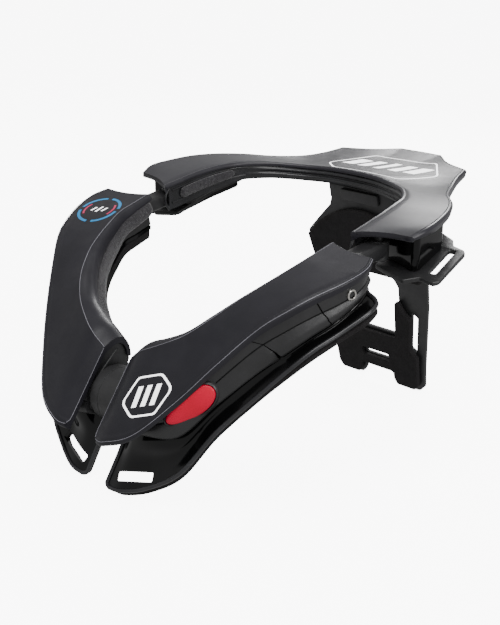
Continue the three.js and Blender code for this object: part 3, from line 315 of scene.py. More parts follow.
def bead(name, path, radius, finish, side=1, sides=10):
    """Round bead of a given radius along a line of points."""
    rings = []
    for p, a, b in zip(path, *sides_along(np.array(path, float))):
        rings.append([p + radius * (math.cos(w) * a + math.sin(w) * b) for w in circle(sides)])
    return loft(name, rings, finish, side)


def plate(name, outline, holes, height, bevel, place, finish, side=1, soft=False):
    """Flat plate with holes and rounded edges, from z = 0 up, then moved by place(points). A
    soft one has finer and smoother edges."""
    curve = bpy.data.curves.new("outline", "CURVE")
    curve.dimensions = "2D"
    curve.fill_mode = "BOTH"
    curve.extrude = max(height / 2 - bevel, 0)
    curve.bevel_depth = bevel
    curve.bevel_resolution = 4 if soft else 3
    curve.offset = -bevel
    for points in (outline, *holes):
        spline = curve.splines.new("POLY")
        spline.points.add(len(points) - 1)
        for control, (x, y) in zip(spline.points, points):
            control.co = (x, y, 0, 1)
        spline.use_cyclic_u = True
    holder = in_scene("outline", curve)
    bpy.context.view_layer.update()
    mesh = holder.to_mesh()
    points = np.array([v.co for v in mesh.vertices]) + (0, 0, height / 2)
    faces = [tuple(f.vertices) for f in mesh.polygons]
    holder.to_mesh_clear()
    bpy.data.objects.remove(holder)
    bpy.data.curves.remove(curve)
    return make(name, place(points), faces, finish, side, SOFT_ANGLE if soft else SHARP_ANGLE)


def join(name, *objects):
    """One object of several, with all their materials."""
    first = objects[0]
    with bpy.context.temp_override(active_object=first, selected_editable_objects=objects):
        bpy.ops.object.join()
    first.name = name
    return first


def cut(obj, tool):
    """Cuts a tool out of an object and removes the tool."""
    modifier = obj.modifiers.new("cut", "BOOLEAN")
    modifier.object = tool
    modifier.operation = "DIFFERENCE"
    modifier.solver = "EXACT"
    with bpy.context.temp_override(object=obj, active_object=obj):
        bpy.ops.object.modifier_apply(modifier=modifier.name)
    bpy.data.objects.remove(tool)
    obj.data.set_sharp_from_angle(angle=math.radians(SHARP_ANGLE))
    return obj


def dress(obj, body, slot, *nodes):
    """The piece rides on a body and stands for CAD nodes, which it hides. Slot is not used."""
    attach(obj, body)
    if nodes:
        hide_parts(*nodes)
    return obj


# Materials

MOTTLE = 60  # patches of colour, in waves a metre
POLISH = 180  # patches of gloss


def nodes_of(name):
    """New node material with its tree and its shader."""
    material = bpy.data.materials.new(name)
    material.use_nodes = True
    tree = material.node_tree
    return material, tree, tree.nodes["Principled BSDF"]


def feed(node, inputs):
    """Sets a node's inputs, each to a value or to another node's output."""
    for key, value in inputs.items():
        if isinstance(value, bpy.types.NodeSocket):
            node.id_data.links.new(value, node.inputs[key])
        elif value is not None:
            node.inputs[key].default_value = value


def noise(tree, scale, detail=4, roughness=0.55):
    """Noise at a scale in waves per metre, from the object's own coordinates."""
    place = tree.nodes.new("ShaderNodeTexCoord")
    texture = tree.nodes.new("ShaderNodeTexNoise")
    feed(texture, {"Scale": scale, "Detail": detail, "Roughness": roughness,
                   "Vector": place.outputs["Object"]})
    return texture.outputs["Fac"]


def ramp(tree, value, low, high, start=0.35, end=0.65):
    """Colours or greys from low to high as value runs from start to end."""
    node = tree.nodes.new("ShaderNodeValToRGB")
    node.color_ramp.elements[0].position = start
    node.color_ramp.elements[1].position = end
    for element, colour in zip(node.color_ramp.elements, (low, high)):
        element.color = (*colour, 1) if hasattr(colour, "__len__") else (colour,) * 3 + (1,)
    feed(node, {"Fac": value})
    return node.outputs["Color"]


def bump(tree, height, depth, below=None):
    """Normals of a relief of a given depth in metres, on top of another relief."""
    node = tree.nodes.new("ShaderNodeBump")
    feed(node, {"Distance": depth, "Height": height, "Normal": below})
    return node.outputs["Normal"]


def srgb(code):
    """Linear colour of a hexadecimal sRGB code."""
    parts = [int(code[i:i + 2], 16) / 255 for i in (0, 2, 4)]
    return tuple(c / 12.92 if c <= 0.04045 else ((c + 0.055) / 1.055) ** 2.4 for c in parts)


def plastic(name, dark, light, roughness, spread=0.06, grain=2600, depth=0.00003, coat=0.0,
            shine=0.5, glow=0.0):
    """Moulded plastic with mottled colour, fine grain and uneven gloss, and with glow a light of
    its own.
    """
    material, tree, shader = nodes_of(name)
    feed(shader, {
        "Base Color": ramp(tree, noise(tree, MOTTLE), srgb(dark), srgb(light)),
        "Roughness": ramp(tree, noise(tree, POLISH), roughness - spread, roughness + spread),
        "Normal": bump(tree, noise(tree, grain, 2), depth),
        "Specular IOR Level": shine, "Coat Weight": coat, "Coat Roughness": 0.08,
        "Emission Color": (1, 1, 1, 1), "Emission Strength": glow})
    return material


def foam(name, dark, light, grain, depth, sheen=0.0):
    """Pile or foam with an open, uneven surface."""
    material, tree, shader = nodes_of(name)
    coarse = noise(tree, grain, 6, 0.7)
    relief = bump(tree, coarse, depth)
    feed(shader, {
        "Base Color": ramp(tree, coarse, srgb(dark), srgb(light), 0.3, 0.7),
        "Roughness": ramp(tree, noise(tree, grain / 6), 0.82, 0.98),
        "Normal": bump(tree, noise(tree, grain * 3, 3), depth * 0.5, relief),
        "Sheen Weight": sheen, "Sheen Roughness": 0.5, "Specular IOR Level": 0.25})
    return material


def metal(name, light, dark, roughness):
    """Bright metal with uneven polish."""
    material, tree, shader = nodes_of(name)
    feed(shader, {"Base Color": ramp(tree, noise(tree, 900), srgb(dark), srgb(light)),
                  "Roughness": ramp(tree, noise(tree, 500), roughness * 0.6, roughness),
                  "Metallic": 1})
    return material


TABLE = plastic("table_plastic", "1d1c22", "222127", 0.42, grain=4200, depth=0.00002, shine=0.35)
REAR = plastic("rear_table_plastic", "232228", "26252b", 0.36, 0.02, grain=4200, depth=0.000003)
# painted highlight: light grey lines that stand for the light caught along the tables' edges
TABLE_EDGE_HIGHLIGHT = plastic("table_edge_painted_highlight", "7c7b83", "8d8c94", 0.3, grain=3000, depth=0.00001)
SHELL = plastic("shell_plastic", "232324", "2a2a2b", 0.38, grain=3800, depth=0.00002)
GLOSS = plastic("gloss_plastic", "060607", "0a0a0b", 0.12, 0.03, grain=1500, depth=0.000008,
                coat=0.06, shine=0.3)
LIP = plastic("lip_plastic", "232325", "2c2c2f", 0.24, 0.04, grain=2400)
WALL = plastic("wall_plastic", "1a1a1c", "222225", 0.3, grain=3000, depth=0.00002)
DRUM = plastic("drum_plastic", "262627", "303031", 0.5, grain=2400, depth=0.00006)
FOAM = foam("eva_foam", "171617", "282627", 900, 0.0002)
VELVET = foam("neck_velvet", "131214", "3b393d", 700, 0.0007, sheen=0.4)
RED = plastic("button_red", "cc002c", "da0036", 0.36, 0.05, grain=2600, depth=0.00002, coat=0.08,
              shine=0.3)
CHROME = metal("eyelet_chrome", "e6e4e0", "b9b6b0", 0.22)
DARK = plastic("socket_dark", "070707", "0d0d0d", 0.6)
# white print, and painted light too: it glows so that it reads brighter than the lamps make it
GLOWING_WHITE_PRINT = plastic("print_white_painted_glow", "f4f3f6", "fcfcfc", 0.5, grain=3000, depth=0.00001, glow=2.2)
BLUE = plastic("print_blue", "1c86c4", "2a9ad8", 0.5, grain=3000, depth=0.00001)
PINK = plastic("print_pink", "c9305c", "dc4470", 0.5, grain=3000, depth=0.00001)


# Front half

EDGE_HIGHLIGHT_RADIUS = 0.17  # radius of the fine light line along a table's edges, a painted highlight
INNER_LINE = (0.3, 0.12)  # where it runs, by distance in from the edge and down
OUTER_LINE = (0.5, 0.42)
REAR_DIP = 4.5  # the half table's rear edge is hollow by this much
DIP_END = 0.12
CORNER_ROUND = 3.0
TIP_START = 0.93
TIP_ROUND = 4.0
REAR_PACE = 200  # millimetres of edge for the whole of t, at the joint line
TIP_PACE = 115  # and at the throat


def edge_station(columns, row, sizes, scale):
    """Edge points, outward direction and section sizes from one row of values, whose first
    six are the inner and the outer point in shares of scale."""
    s = SimpleNamespace(**dict(zip(columns, row)))
    for key, size in sizes.items():
        setattr(s, key, getattr(s, key) * size)
    s.inner_point = row[:3] * scale
    s.outer_point = row[3:6] * scale
    gap = s.outer_point - s.inner_point
    s.width = math.hypot(gap[0], gap[1])
    s.outward = np.array([gap[0] / s.width, gap[1] / s.width, 0])
    s.fall = gap[2]
    return s


@lru_cache(maxsize=None)
def half_station(t):
    """Station of a front half, from the joint line (t = 0) to the throat (t = 1)."""
    scale = (HALF_WIDTH, FRONT_REACH, -FRONT_DROP)
    s = edge_station(HALF_COLUMNS, along(HALF_ROWS, t), HALF_SIZES, scale)
    s.level = s.width / math.hypot(s.width, s.fall)
    s.brow = max(s.roll * s.brow, SHELL_WALL)
    return s


def corner_shift(distance, radius):
    """Set-back of a rounded corner at a distance in from its side."""
    inside = min(max(distance, 0), radius)
    return radius - math.sqrt(radius ** 2 - (radius - inside) ** 2)


def half_place(t, u, v):
    """Place of a section's point: u outward and v up from the table's inner edge."""
    s = half_station(t)
    return s.inner_point + s.outward * u + (0, 0, v)


def table_place(t, u, v):
    """Place on the half table, whose rear edge is hollow and whose corners are round."""
    s = half_station(t)
    if t < DIP_END:
        share = clamp(u / s.width)
        fade = (1 - max(t, 0) / DIP_END) ** 2
        dip = REAR_DIP * 4 * share * (1 - share) + corner_shift(s.width - u, CORNER_ROUND)
        t = t + dip * fade / REAR_PACE
    if t > TIP_START:
        fade = ((t - TIP_START) / (1 - TIP_START)) ** 2
        t = t - corner_shift(s.width - u, TIP_ROUND) * fade / TIP_PACE
    return half_place(round(t, 5), u, v)


def from_edge(s, back, down):
    """Point below the table's sloping top, back from its outer edge."""
    return (s.width - back, s.fall - s.fall * back / s.width - down)


def upright(s, thickness):
    """Height that a thickness takes up where the table slopes."""
    return thickness / s.level


def shoulder_point(s, turn, depth):
    """Point of the rolled inner edge, from flat (turn 0) to upright (turn 1), at a depth."""
    angle = turn * math.pi / 2
    reach = s.brow - depth * 0.9
    rise = s.crown * math.sin(2 * angle) - s.shoulder * (1 - math.cos(angle))
    return (-reach * math.sin(angle), rise - upright(s, depth) * math.cos(angle))


SHEET_STEP = 0.45  # the rolled shoulder lies this far below the top sheet's edge
TURNS = np.linspace(0, 1, 11)
ACROSS = (.2, .3, .4, .5, .6, .7, .8, .9)  # shares of the width in from the outer edge
OUTER_EDGE = (  # a fine groove and the bevel, by distance in from the edge and down
    (RIM_BEVEL + 0.9, 0), (RIM_BEVEL + 0.6, 0.25), (RIM_BEVEL + 0.2, 0), (RIM_BEVEL * 0.75, 0),
    (0, RIM_BEVEL * 0.75))


def table_section(t):
    """Section of a half table: the sheet with its rim, and the shoulder rolled down inside."""
    s = half_station(t)
    across = [from_edge(s, s.width * share, 0) for share in ACROSS[::-1]]
    beneath = [from_edge(s, s.width * share, upright(s, TABLE_THICKNESS)) for share in ACROSS]
    edge = [
        (0.5, s.fall * 0.5 / s.width), *across, *(from_edge(s, *p) for p in OUTER_EDGE),
        (s.width - RIM_BEVEL / 2, s.fall - s.rim), (s.width - RIM_BACK, s.fall - s.rim),
        from_edge(s, RIM_BACK, upright(s, TABLE_THICKNESS)), *beneath,
    ]
    under = [shoulder_point(s, turn, TABLE_THICKNESS) for turn in TURNS]
    over = []
    for turn in TURNS[::-1]:
        u, v = shoulder_point(s, turn, 0)
        over.append((u, v - SHEET_STEP * (1 - turn)))
    flat = [0] * len(ACROSS)
    radii = [0.15, *flat, 0, 0, 0, 0.9, 1.0, 0.5, 0.4, 0, *flat]
    radii += [0] * len(under) + [0.5] + [0] * (len(over) - 1)
    return rounded(edge + under + over, radii, 3)


PAD_SEAT_END = 0.87  # station at which the shell's seat for the neck pad has run out


def shell_corners(t):
    """Corner points of the shell's section at position t, all round."""
    s = half_station(t)
    c = SimpleNamespace(s=s)
    back = max(s.inset, RIM_BACK + GAP)
    c.outer_top = np.array(from_edge(s, back, upright(s, TABLE_THICKNESS + TABLE_SEAT)))
    bottom_u = s.width - s.inset
    c.outer_bottom = np.array((bottom_u, s.fall * bottom_u / s.width - s.outer_depth))
    parting = min(PARTING_DEPTH / s.outer_depth, 0.6)
    c.outer_parting = c.outer_top + (c.outer_bottom - c.outer_top) * parting
    c.keel = c.outer_bottom - (s.keel_back, s.keel_drop)
    c.inner_bottom = np.array((-s.roll + SHELL_WALL, -s.inner_depth))
    seat = GAP + NECK_PAD_THICKNESS * clamp((PAD_SEAT_END - t) / 0.02)
    c.pad_top = np.array((-s.brow + seat, -s.shoulder - GAP))
    c.pad_end = np.array((-s.roll + seat, -s.pad))
    c.inner_parting = (c.pad_top + c.pad_end) / 2
    return c


def upper_shell_section(t):
    c = shell_corners(t)
    rolled = [shoulder_point(c.s, turn, TABLE_THICKNESS + TABLE_SEAT) for turn in (0, .35, .7)]
    points = [c.outer_top, *rolled, c.pad_top, c.inner_parting, c.outer_parting - (0.9, 0),
              c.outer_parting + (0, 0.5)]
    return rounded(points, [0, 0, 0, 0, 0, 0, 0.2, 0.3], 2)


def lower_shell_section(t):
    c = shell_corners(t)
    swell = (c.outer_bottom - c.outer_parting) * 0.45 + (1.1, 0)
    points = [c.outer_parting - (0, 0.5), c.outer_parting - (0.9, 0.1),
              c.inner_parting - (0, GAP), c.pad_end, c.inner_bottom, c.keel,
              c.outer_bottom, c.outer_parting + swell]
    return rounded(points, [0.3, 0.2, 0, 0, 1, 3, 5, 6], 4)


def neck_pad_section(t):
    s = half_station(t)
    top = np.array((-s.brow, -s.shoulder - GAP))
    bottom = np.array((-s.roll, -s.pad))
    middle = (top + bottom) / 2
    back = (NECK_PAD_THICKNESS, 0)
    points = [top + back, top + (0.2, 0.2), top - (1.3, 1.6), middle - (2.1, 0),
              bottom + (-1.3, 1.8), bottom + (0.2, -0.2), bottom + back]
    return rounded(points, [0, 1.4, 2.4, 6, 2.4, 1.4, 0], 4)


REAR_SPOON = 0.028  # the chest plate's ends are rounded over these shares of its length
FRONT_SPOON = 0.03
REAR_CURL = 0.5  # share of the plate's span that is lost at its very end
FRONT_CURL = 0.14
HOLLOW = (0.12, 0.048)  # how far its middle sinks, in shares of its height
HOLLOW_END = 0.2
PLATE_PARTS = 6
PLATE_MIDDLE, PLATE_EDGE = 2 * PLATE_PARTS, 3 * PLATE_PARTS  # their points on its line
PLATE_REACH = 3.4
REACH_START = 0.88
LIP_SPAN = (0.003, 0.997)
FOAM_SPAN = (0.008, 0.95)
ROLL_SPAN = (0.012, 0.945)


def plate_line(t):
    """Top of a chest plate's section, from the neck side over the keel to the outer edge."""
    c = shell_corners(t)
    s = c.s
    seat = c.keel - (0, GAP)
    rear, front = rounding(t / REAR_SPOON), rounding((1 - t) / FRONT_SPOON)
    span = c.outer_bottom + (s.flare, -s.plate) - seat
    edge = seat + span * (1 - REAR_CURL * (1 - rear)) * (1 - FRONT_CURL * (1 - front))
    hollow = s.plate * clamp((1 - t) / HOLLOW_END)
    middle = (seat + edge) / 2 - np.array(HOLLOW) * hollow
    return smooth_line([c.inner_bottom - (0, GAP), seat, middle, edge], PLATE_PARTS)


def plate_place(t, u, v):
    """Place on a chest plate, which reaches nearer to its fellow than the table does."""
    past = max(t - REACH_START, 0) / (1 - REACH_START)
    return half_place(round(t + PLATE_REACH / TIP_PACE * past ** 2, 5), u, v)


def chest_plate_section(t):
    return band(plate_line(t), PLATE_THICKNESS)


def chest_foam_section(t):
    return band(plate_line(t), CHEST_FOAM_THICKNESS, PLATE_THICKNESS + GAP)


def steps(start, end, count):
    """Even steps as plain numbers, both ends included."""
    return np.linspace(start, end, count + 1).tolist()


def eased(start, end, count):
    """Steps that are close together at both ends."""
    return [start + (end - start) * (1 - math.cos(math.pi * k / count)) / 2
            for k in range(count + 1)]


SIDES = ((1, "left"), (-1, "right"))


def both(name, build, body, slot):
    """Left and right piece, each made by build(side, name) and dressed for its CAD node. Body
    is half or button, or empty for a piece of the rear part."""
    pieces = []
    for side, word in SIDES:
        obj = build(side, f"{word}_{name}_look")
        carrier = f"{word}_{body}" if body else "rear_part"
        pieces.append(dress(obj, carrier, slot, f"{word}_{name}"))
    return pieces


def half_tables():
    """Tables of the front halves, with a fine light line along each edge that is a painted
    highlight.
    """
    inner, outer = [], []
    back, down = INNER_LINE
    for t in steps(0, 1, 150):
        s = half_station(t)
        inner.append(table_place(t, back, s.fall * back / s.width - down))
        outer.append(table_place(t, *from_edge(s, *OUTER_LINE)))
    s = half_station(1)
    throat = [table_place(1, *from_edge(s, s.width * share, 0))
              for share in np.linspace(0.03, 0.97, 20)]

    def build(side, name):
        body = sweep(name, table_section, table_place, steps(0, 1, 170), TABLE, side)
        # painted highlight lines along the inner edge, the outer edge and the throat end
        lines = [bead(name + "_line", path, EDGE_HIGHLIGHT_RADIUS, TABLE_EDGE_HIGHLIGHT, side, 6)
                 for path in (inner, outer, throat)]
        return join(name, body, *lines)
    both("table", build, "half", "table")


PANEL_GAPS = (0.309, 0.658)  # stations of the two seams across the shell
PANEL_SLANTS = (0.003, 0.0052)  # how they lean, in t for every millimetre down
PANEL_WIDTH = 0.0022  # half a seam
SHELL_END = 0.98


def shells():
    """Upper and lower shell of each half, each in three panels with seams between them."""
    starts = [0.0] + [g + PANEL_WIDTH for g in PANEL_GAPS]
    ends = [g - PANEL_WIDTH for g in PANEL_GAPS] + [SHELL_END]
    slants = (0, *PANEL_SLANTS, 0)
    for layer, section in (("upper", upper_shell_section), ("lower", lower_shell_section)):
        def build(side, name):
            return join(name, *[
                sweep(f"{name}_{k}", section, half_place, steps(a, b, 40), SHELL, side,
                      slants[k:k + 2])
                for k, (a, b) in enumerate(zip(starts, ends))])
        both(f"{layer}_shell", build, "half", "shell")


def swollen_ends(section, start, end, reach=0.02):
    """Section that shrinks to its middle at both ends, so that a pad's ends are round."""
    def shaped(t):
        points = np.array(section(t))
        share = max(rounding(min(t - start, end - t) / reach), 0.02)
        centre = points.mean(axis=0) + (1.0, 0)
        return centre + (points - centre) * (0.35 + 0.65 * share)
    return shaped


NECK_PAD_SPAN = (0.01, 0.84)


def neck_pads():
    section = swollen_ends(neck_pad_section, *NECK_PAD_SPAN)

    def build(side, name):
        return sweep(name, section, half_place, steps(*NECK_PAD_SPAN, 140), VELVET, side)
    for pad in both("neck_pad", build, "half", "neck_pad"):
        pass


CHEST_SLOT_AT = 0.862
CHEST_SLOT_LEVEL = 0.875  # station where the slot's way across the plate is taken
CHEST_SLOT_RUN = (0.825, 0.925)  # stations between which its length runs
CHEST_SLOT_HALF = (13, 2.7)
CHEST_SLOT_CORNER = 1.2
CHEST_SLOT_DEPTH = 30
FOAM_SLOT_MARGIN = 3
LIP_RADIUS = 1.25
ROLL_RADIUS = CHEST_FOAM_THICKNESS / 2 - 0.6


def chest_slot_tool(side, grow=0.0):
    """Prism through the strap slot near the front edge of a chest plate."""
    def point(t, share):
        line = plate_line(t)
        middle, edge = line[PLATE_MIDDLE], line[PLATE_EDGE]
        return half_place(t, *(middle + (edge - middle) * share))
    centre = point(CHEST_SLOT_AT, 0.5)
    start, end = CHEST_SLOT_RUN
    along_slot = unit(point(start, 0.5) - point(end, 0.5))
    down = point(CHEST_SLOT_LEVEL, 1) - point(CHEST_SLOT_LEVEL, 0)
    out = unit(np.cross(along_slot, down))
    up = np.cross(out, along_slot)
    x, y = (half + grow for half in CHEST_SLOT_HALF)
    outline = rounded([(-x, -y), (x, -y), (x, y), (-x, y)], CHEST_SLOT_CORNER)
    rings = [[centre + along_slot * a + up * b + out * d for a, b in outline]
             for d in (-CHEST_SLOT_DEPTH / 2, CHEST_SLOT_DEPTH / 2)]
    return loft("slot_tool", rings, GLOSS, side)


def chest_plates():
    """Glossy plates with a rounded lip all round."""
    first, last = LIP_SPAN

    def build(side, name):
        body = sweep(name, chest_plate_section, plate_place, eased(0, 1, 130), GLOSS, side)
        body = cut(body, chest_slot_tool(side))
        edge = [plate_place(t, *plate_line(t)[-1]) for t in eased(first, last, 140)]
        rear = [plate_place(first, *p) for p in plate_line(first)[::-1]]
        front = [plate_place(last, *p) for p in plate_line(last)]
        path = front[PLATE_PARTS:] + edge[::-1][1:-1] + rear[:-4]
        return join(name, body, bead(name + "_lip", path, LIP_RADIUS, LIP, side))
    both("chest_plate", build, "half", "gloss")


def chest_foams():
    """Foam under the chest plates, with a soft roll along the outer edge."""
    def build(side, name):
        body = sweep(name, chest_foam_section, plate_place, eased(*FOAM_SPAN, 110), FOAM, side)
        body = cut(body, chest_slot_tool(side, FOAM_SLOT_MARGIN))
        edge = []
        for t in eased(*ROLL_SPAN, 120):
            line = band(plate_line(t), 0.1, PLATE_THICKNESS + CHEST_FOAM_THICKNESS / 2)
            edge.append(plate_place(t, *line[PLATE_EDGE]))
        return join(name, body, bead(name + "_roll", edge, ROLL_RADIUS, FOAM, side, 14))
    for pad in both("chest_foam", build, "half", "foam"):
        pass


# Release buttons and screws

BUTTON_LENGTH = 32
BUTTON_HEIGHT = 13.6
BUTTON_AT = 0.662
BUTTON_PROUD = 2.4
BUTTON_RIM = ((0.4, -2.5), (0.4, 0.2), (0.6, 0.5), (1.0, 0.3), (1.8, -0.8), (2.4, -2.5))
BUTTON_RAISE = -2.0
BUTTON_SIDE = 0.2  # height at which the dome begins
BUTTON_DROP = 1.8  # below the shell's parting line
BUTTON_REACH = 0.09  # its direction is taken this far on along the shell
BUTTON_TAPER = 0.24
BUTTON_ROOT = -2.2
DOME_ANGLE = 1.5  # radians of a quarter turn that the dome goes through


def button_frame():
    """Middle of the left button and its directions lengthwise, across and outward."""
    def wall_point(t):
        u, v = shell_corners(t).outer_parting
        return half_place(t, u, v - BUTTON_DROP)
    lengthwise = unit(wall_point(BUTTON_AT + BUTTON_REACH)
                      - wall_point(BUTTON_AT - BUTTON_REACH))
    outward = unit(np.array((-lengthwise[1], lengthwise[0], 0)))
    outward *= math.copysign(1, outward[0])
    return wall_point(BUTTON_AT), lengthwise, np.cross(outward, lengthwise), outward


def button_outline(grow):
    """Oval that is lower towards one end."""
    return [((BUTTON_LENGTH / 2 + grow) * math.cos(a),
             (BUTTON_HEIGHT / 2 + grow) * math.sin(a) * (1 - BUTTON_TAPER * math.cos(a)))
            for a in circle(64)]


def at_button(outline, outwards):
    """Outline placed on the left button, at a distance outwards."""
    centre, lengthwise, across, outward = button_frame()
    return [centre + lengthwise * x + across * (y + BUTTON_RAISE) + outward * outwards
            for x, y in outline]


def buttons():
    """Domed release buttons, and the raised rims round them on the halves."""
    dome = [at_button(button_outline(0), BUTTON_ROOT)]
    for f in np.linspace(0, 1, 14):
        rise = (BUTTON_PROUD - BUTTON_SIDE) * math.sin(f * math.pi / 2)
        dome.append(at_button(np.array(button_outline(0)) * math.cos(f * DOME_ANGLE),
                              BUTTON_SIDE + rise))
    rim = [at_button(button_outline(grow), out) for grow, out in BUTTON_RIM]

    def build(side, name):
        return loft(name, dome, RED, side, sharp=SOFT_ANGLE)
    both("release_button", build, "button", "button")
    for side, word in SIDES:
        obj = loft(f"{word}_button_rim", rim, SHELL, side, closed=True, sharp=SOFT_ANGLE)
        dress(obj, f"{word}_half", "shell")


SCREW_AT = 0.155
SCREW_LIFT = 1.6
EYELET = ((1.9, -1.6), (1.9, 0.7), (2.15, 0.95), (2.6, 1.0), (3.0, 0.7), (3.1, -1.6))


def screws():
    """Chrome eyelets, given by radius and height, round a dark base and a hexagon."""
    u, v = shell_corners(SCREW_AT).outer_parting
    centre = half_place(SCREW_AT, u, v + SCREW_LIFT)
    out = half_station(SCREW_AT).outward
    up = np.array((0, 0, 1.0))

    def spot(angle, radius, height):
        spoke = np.cross(up, out) * math.cos(angle) + up * math.sin(angle)
        return centre + spoke * radius + out * height

    def disc(sides, *rims):
        return [[spot(w, r, height) for w in circle(sides)] for r, height in rims]

    def build(side, name):
        rings = [[spot(w, *p) for p in EYELET] for w in circle(48)]
        ring = loft(name, rings, CHROME, side, closed=True)
        base = loft(name + "_base", disc(24, (2.2, -1.6), (2.2, -0.6)), DARK, side)
        head = loft(name + "_hex", disc(6, (1.45, -0.7), (1.35, -0.2)), DRUM, side)
        return join(name, ring, base, head)
    both("screw", build, "half", "screw")


TONGUE_START = -8
TONGUE_RISE = 0.13
BARREL = ((5.2, -13.5), (6, -12.8), (6, -2.6), (5.4, -2), (2.5, -1.9), (2.5, 0.6))


def tongues():
    """Bars that reach under the arms, with the hinges' barrels, given by radius and height."""
    x0, y0, _ = HINGE
    section = rounded([(-6, -9), (6, -9), (6, 0), (-6, 0)], 2.2)
    bar = [[(x0 + x, y, z - 2 + TONGUE_RISE * (y - y0)) for x, z in section]
           for y in np.linspace(TONGUE_START, y0, 30)]
    barrel = [[(x0 + r * math.cos(w), y0 + r * math.sin(w), z) for w in circle(40)]
              for r, z in BARREL]

    def build(side, name):
        return join(name, loft(name, bar, SHELL, side),
                    loft(name + "_barrel", barrel, SHELL, side))
    both("tongue", build, "half", "shell")


PLUG_SPAN = (0.974, 0.988)
PLUG_SCALE = 0.86


def end_plugs():
    """Plugs a little smaller than the shells' ends that they fill."""
    def section(t):
        c = shell_corners(t)
        points = [c.outer_top, shoulder_point(c.s, 0.5, TABLE_THICKNESS + TABLE_SEAT), c.pad_end,
                  c.inner_bottom, c.keel, c.outer_bottom]
        centre = np.mean(points, axis=0)
        return rounded([centre + (np.array(p) - centre) * PLUG_SCALE for p in points], 1.5)

    def build(side, name):
        return sweep(name, section, half_place, steps(*PLUG_SPAN, 3), DRUM, side)
    both("end_plug", build, "half", "drum")


DRUM_AT = (-80, -87)  # y and z of its axis, which runs along x
DRUM_HALF = 11.2
DRUM_PROFILE = (  # radius and x, with a groove round it
    (0, -DRUM_HALF), (14.6, -DRUM_HALF), (16, -DRUM_HALF + 1.2), (16, -4.4), (15.7, -4.2),
    (15.7, -3.8), (16, -3.6), (16, DRUM_HALF - 1.2), (14.6, DRUM_HALF), (0, DRUM_HALF))


def latch_drum():
    y, z = DRUM_AT
    rings = [[(x, y + r * math.cos(w), z + r * math.sin(w)) for r, x in DRUM_PROFILE]
             for w in circle(72)]
    dress(loft("latch_drum_look", rings, DRUM, closed=True), "left_half", "drum", "latch_drum")


# Rear part

@lru_cache(maxsize=None)
def rear_station(t):
    """Station of the rear part, from the left arm's end (t = 0) to the right's (t = 1)."""
    share = 1 - abs(2 * t - 1)
    side = 1 if t <= 0.5 else -1
    scale = (side * REAR_HALF_WIDTH, REAR_REACH, REAR_RISE)
    return edge_station(REAR_COLUMNS, along(REAR_ROWS, share, REAR_CORNERS), REAR_SIZES, scale)


ARM_DIP = 3.5
ARM_CORNER = 3.0
SKIRT_DEPTH = 3.3
SKIRT_AT = 0.001
SKIRT_SPAN = (0.02, 0.97)
SKIRT_DROOP = (3.0, 0.2)  # how far it droops at its inner end, and the share that droops
RIM_FADE = 0.07  # the rim grows to its full depth over this much of t
RIDGES = ((0, 0.42, 1), (0.42, 0.44, 0.9))  # start, height and size of the wall's ridges
ARM_FADE = 0.05
ARM_PACE = 290  # millimetres of edge for the whole of t, at an arm's end


def rear_place(t, u, v):
    """Place on the rear part, whose arm ends are hollow and have round corners."""
    s = rear_station(t)
    near = 1 - min(t, 1 - t) / ARM_FADE
    if near > 0:
        share = clamp(u / s.width)
        dip = ARM_DIP * 4 * share * (1 - share)
        dip += corner_shift(s.width - u, ARM_CORNER) + corner_shift(u, ARM_CORNER) / 2
        move = dip * near ** 2 / ARM_PACE
        s = rear_station(round(t + (move if t < 0.5 else -move), 5))
    return s.inner_point + s.outward * u + (0, 0, v)


def rear_table_section(t):
    """Section of the rear table: a dished sheet with a groove along each edge, and a rim."""
    s = rear_station(t)
    w, fall, sag = s.width, s.fall, s.sag
    deep = TABLE_THICKNESS + 0.1 + (RIM_DEPTH - TABLE_THICKNESS) * clamp(min(t, 1 - t) / RIM_FADE)

    def dished(u, v=0.0):
        return (u, v + fall * u / w - sag * 4 * (u / w) * (1 - u / w))
    inner = [dished(*p) for p in ((1.2, 0.1), (2.4, -0.1), (2.8, -0.35), (3.2, -0.1))]
    middle = [dished(w * share) for share in (.2, .35, .5, .65, .8)]
    rim = [(w - back, fall - down) for back, down in (
        (RIM_BEVEL + 1.1, 0), (RIM_BEVEL + 0.75, 0.3), (RIM_BEVEL + 0.4, 0),
        (RIM_BEVEL * 0.7, 0), (0, RIM_BEVEL * 0.7), (RIM_BEVEL / 2, deep),
        (RIM_BACK, deep), (RIM_BACK, TABLE_THICKNESS))]
    under = [(w / 2, fall / 2 - sag - TABLE_THICKNESS), (1.2, -TABLE_THICKNESS),
             (0, -TABLE_THICKNESS), (0, -1.2)]
    radii = [0.8] + [0] * 11 + [0.9, 1, 0.5, 0.4, 0, 0, 0, 0.8, 1]
    return rounded(inner + middle + rim + under, radii, 3)


def rear_table():
    """Rear table with a skirt that hangs down across each arm's end."""
    table = sweep("rear_table_look", rear_table_section, rear_place, steps(0, 1, 336), REAR)
    profile = rounded([(0, -0.3), (1.8, -0.3), (1.8, -SKIRT_DEPTH), (0, -SKIRT_DEPTH)], 0.6)
    end = rear_station(SKIRT_AT)
    rings = []
    amount, reach = SKIRT_DROOP
    for share in np.linspace(*SKIRT_SPAN, 30):
        droop = amount * max(0, 1 - share / reach) ** 2
        base = rear_place(SKIRT_AT, end.width * share, end.fall * share)
        rings.append([base + (0, y, z - (droop if z < -2 else 0)) for y, z in profile])
    skirts = [loft("arm_skirt", rings, REAR, side) for side, _ in SIDES]
    dress(join("rear_table_look", table, *skirts), "rear_part", "rear_table", "rear_table")


def rear_wall_section(t):
    """Section of the inner wall, whose face swells into two ridges."""
    s = rear_station(t)
    top = -TABLE_THICKNESS - GAP
    span = s.wall + top
    face = []
    for share in np.linspace(0, 1, 26):
        swell = sum(size * max(0, math.sin(math.pi * clamp((share - start) / height))) ** 1.5
                    for start, height, size in RIDGES)
        face.append((WALL_INSET - s.ridge * swell, top - span * share))
    return [(WALL_INSET + WALL_DEPTH, top), *face, (WALL_INSET + WALL_DEPTH, -s.wall)]


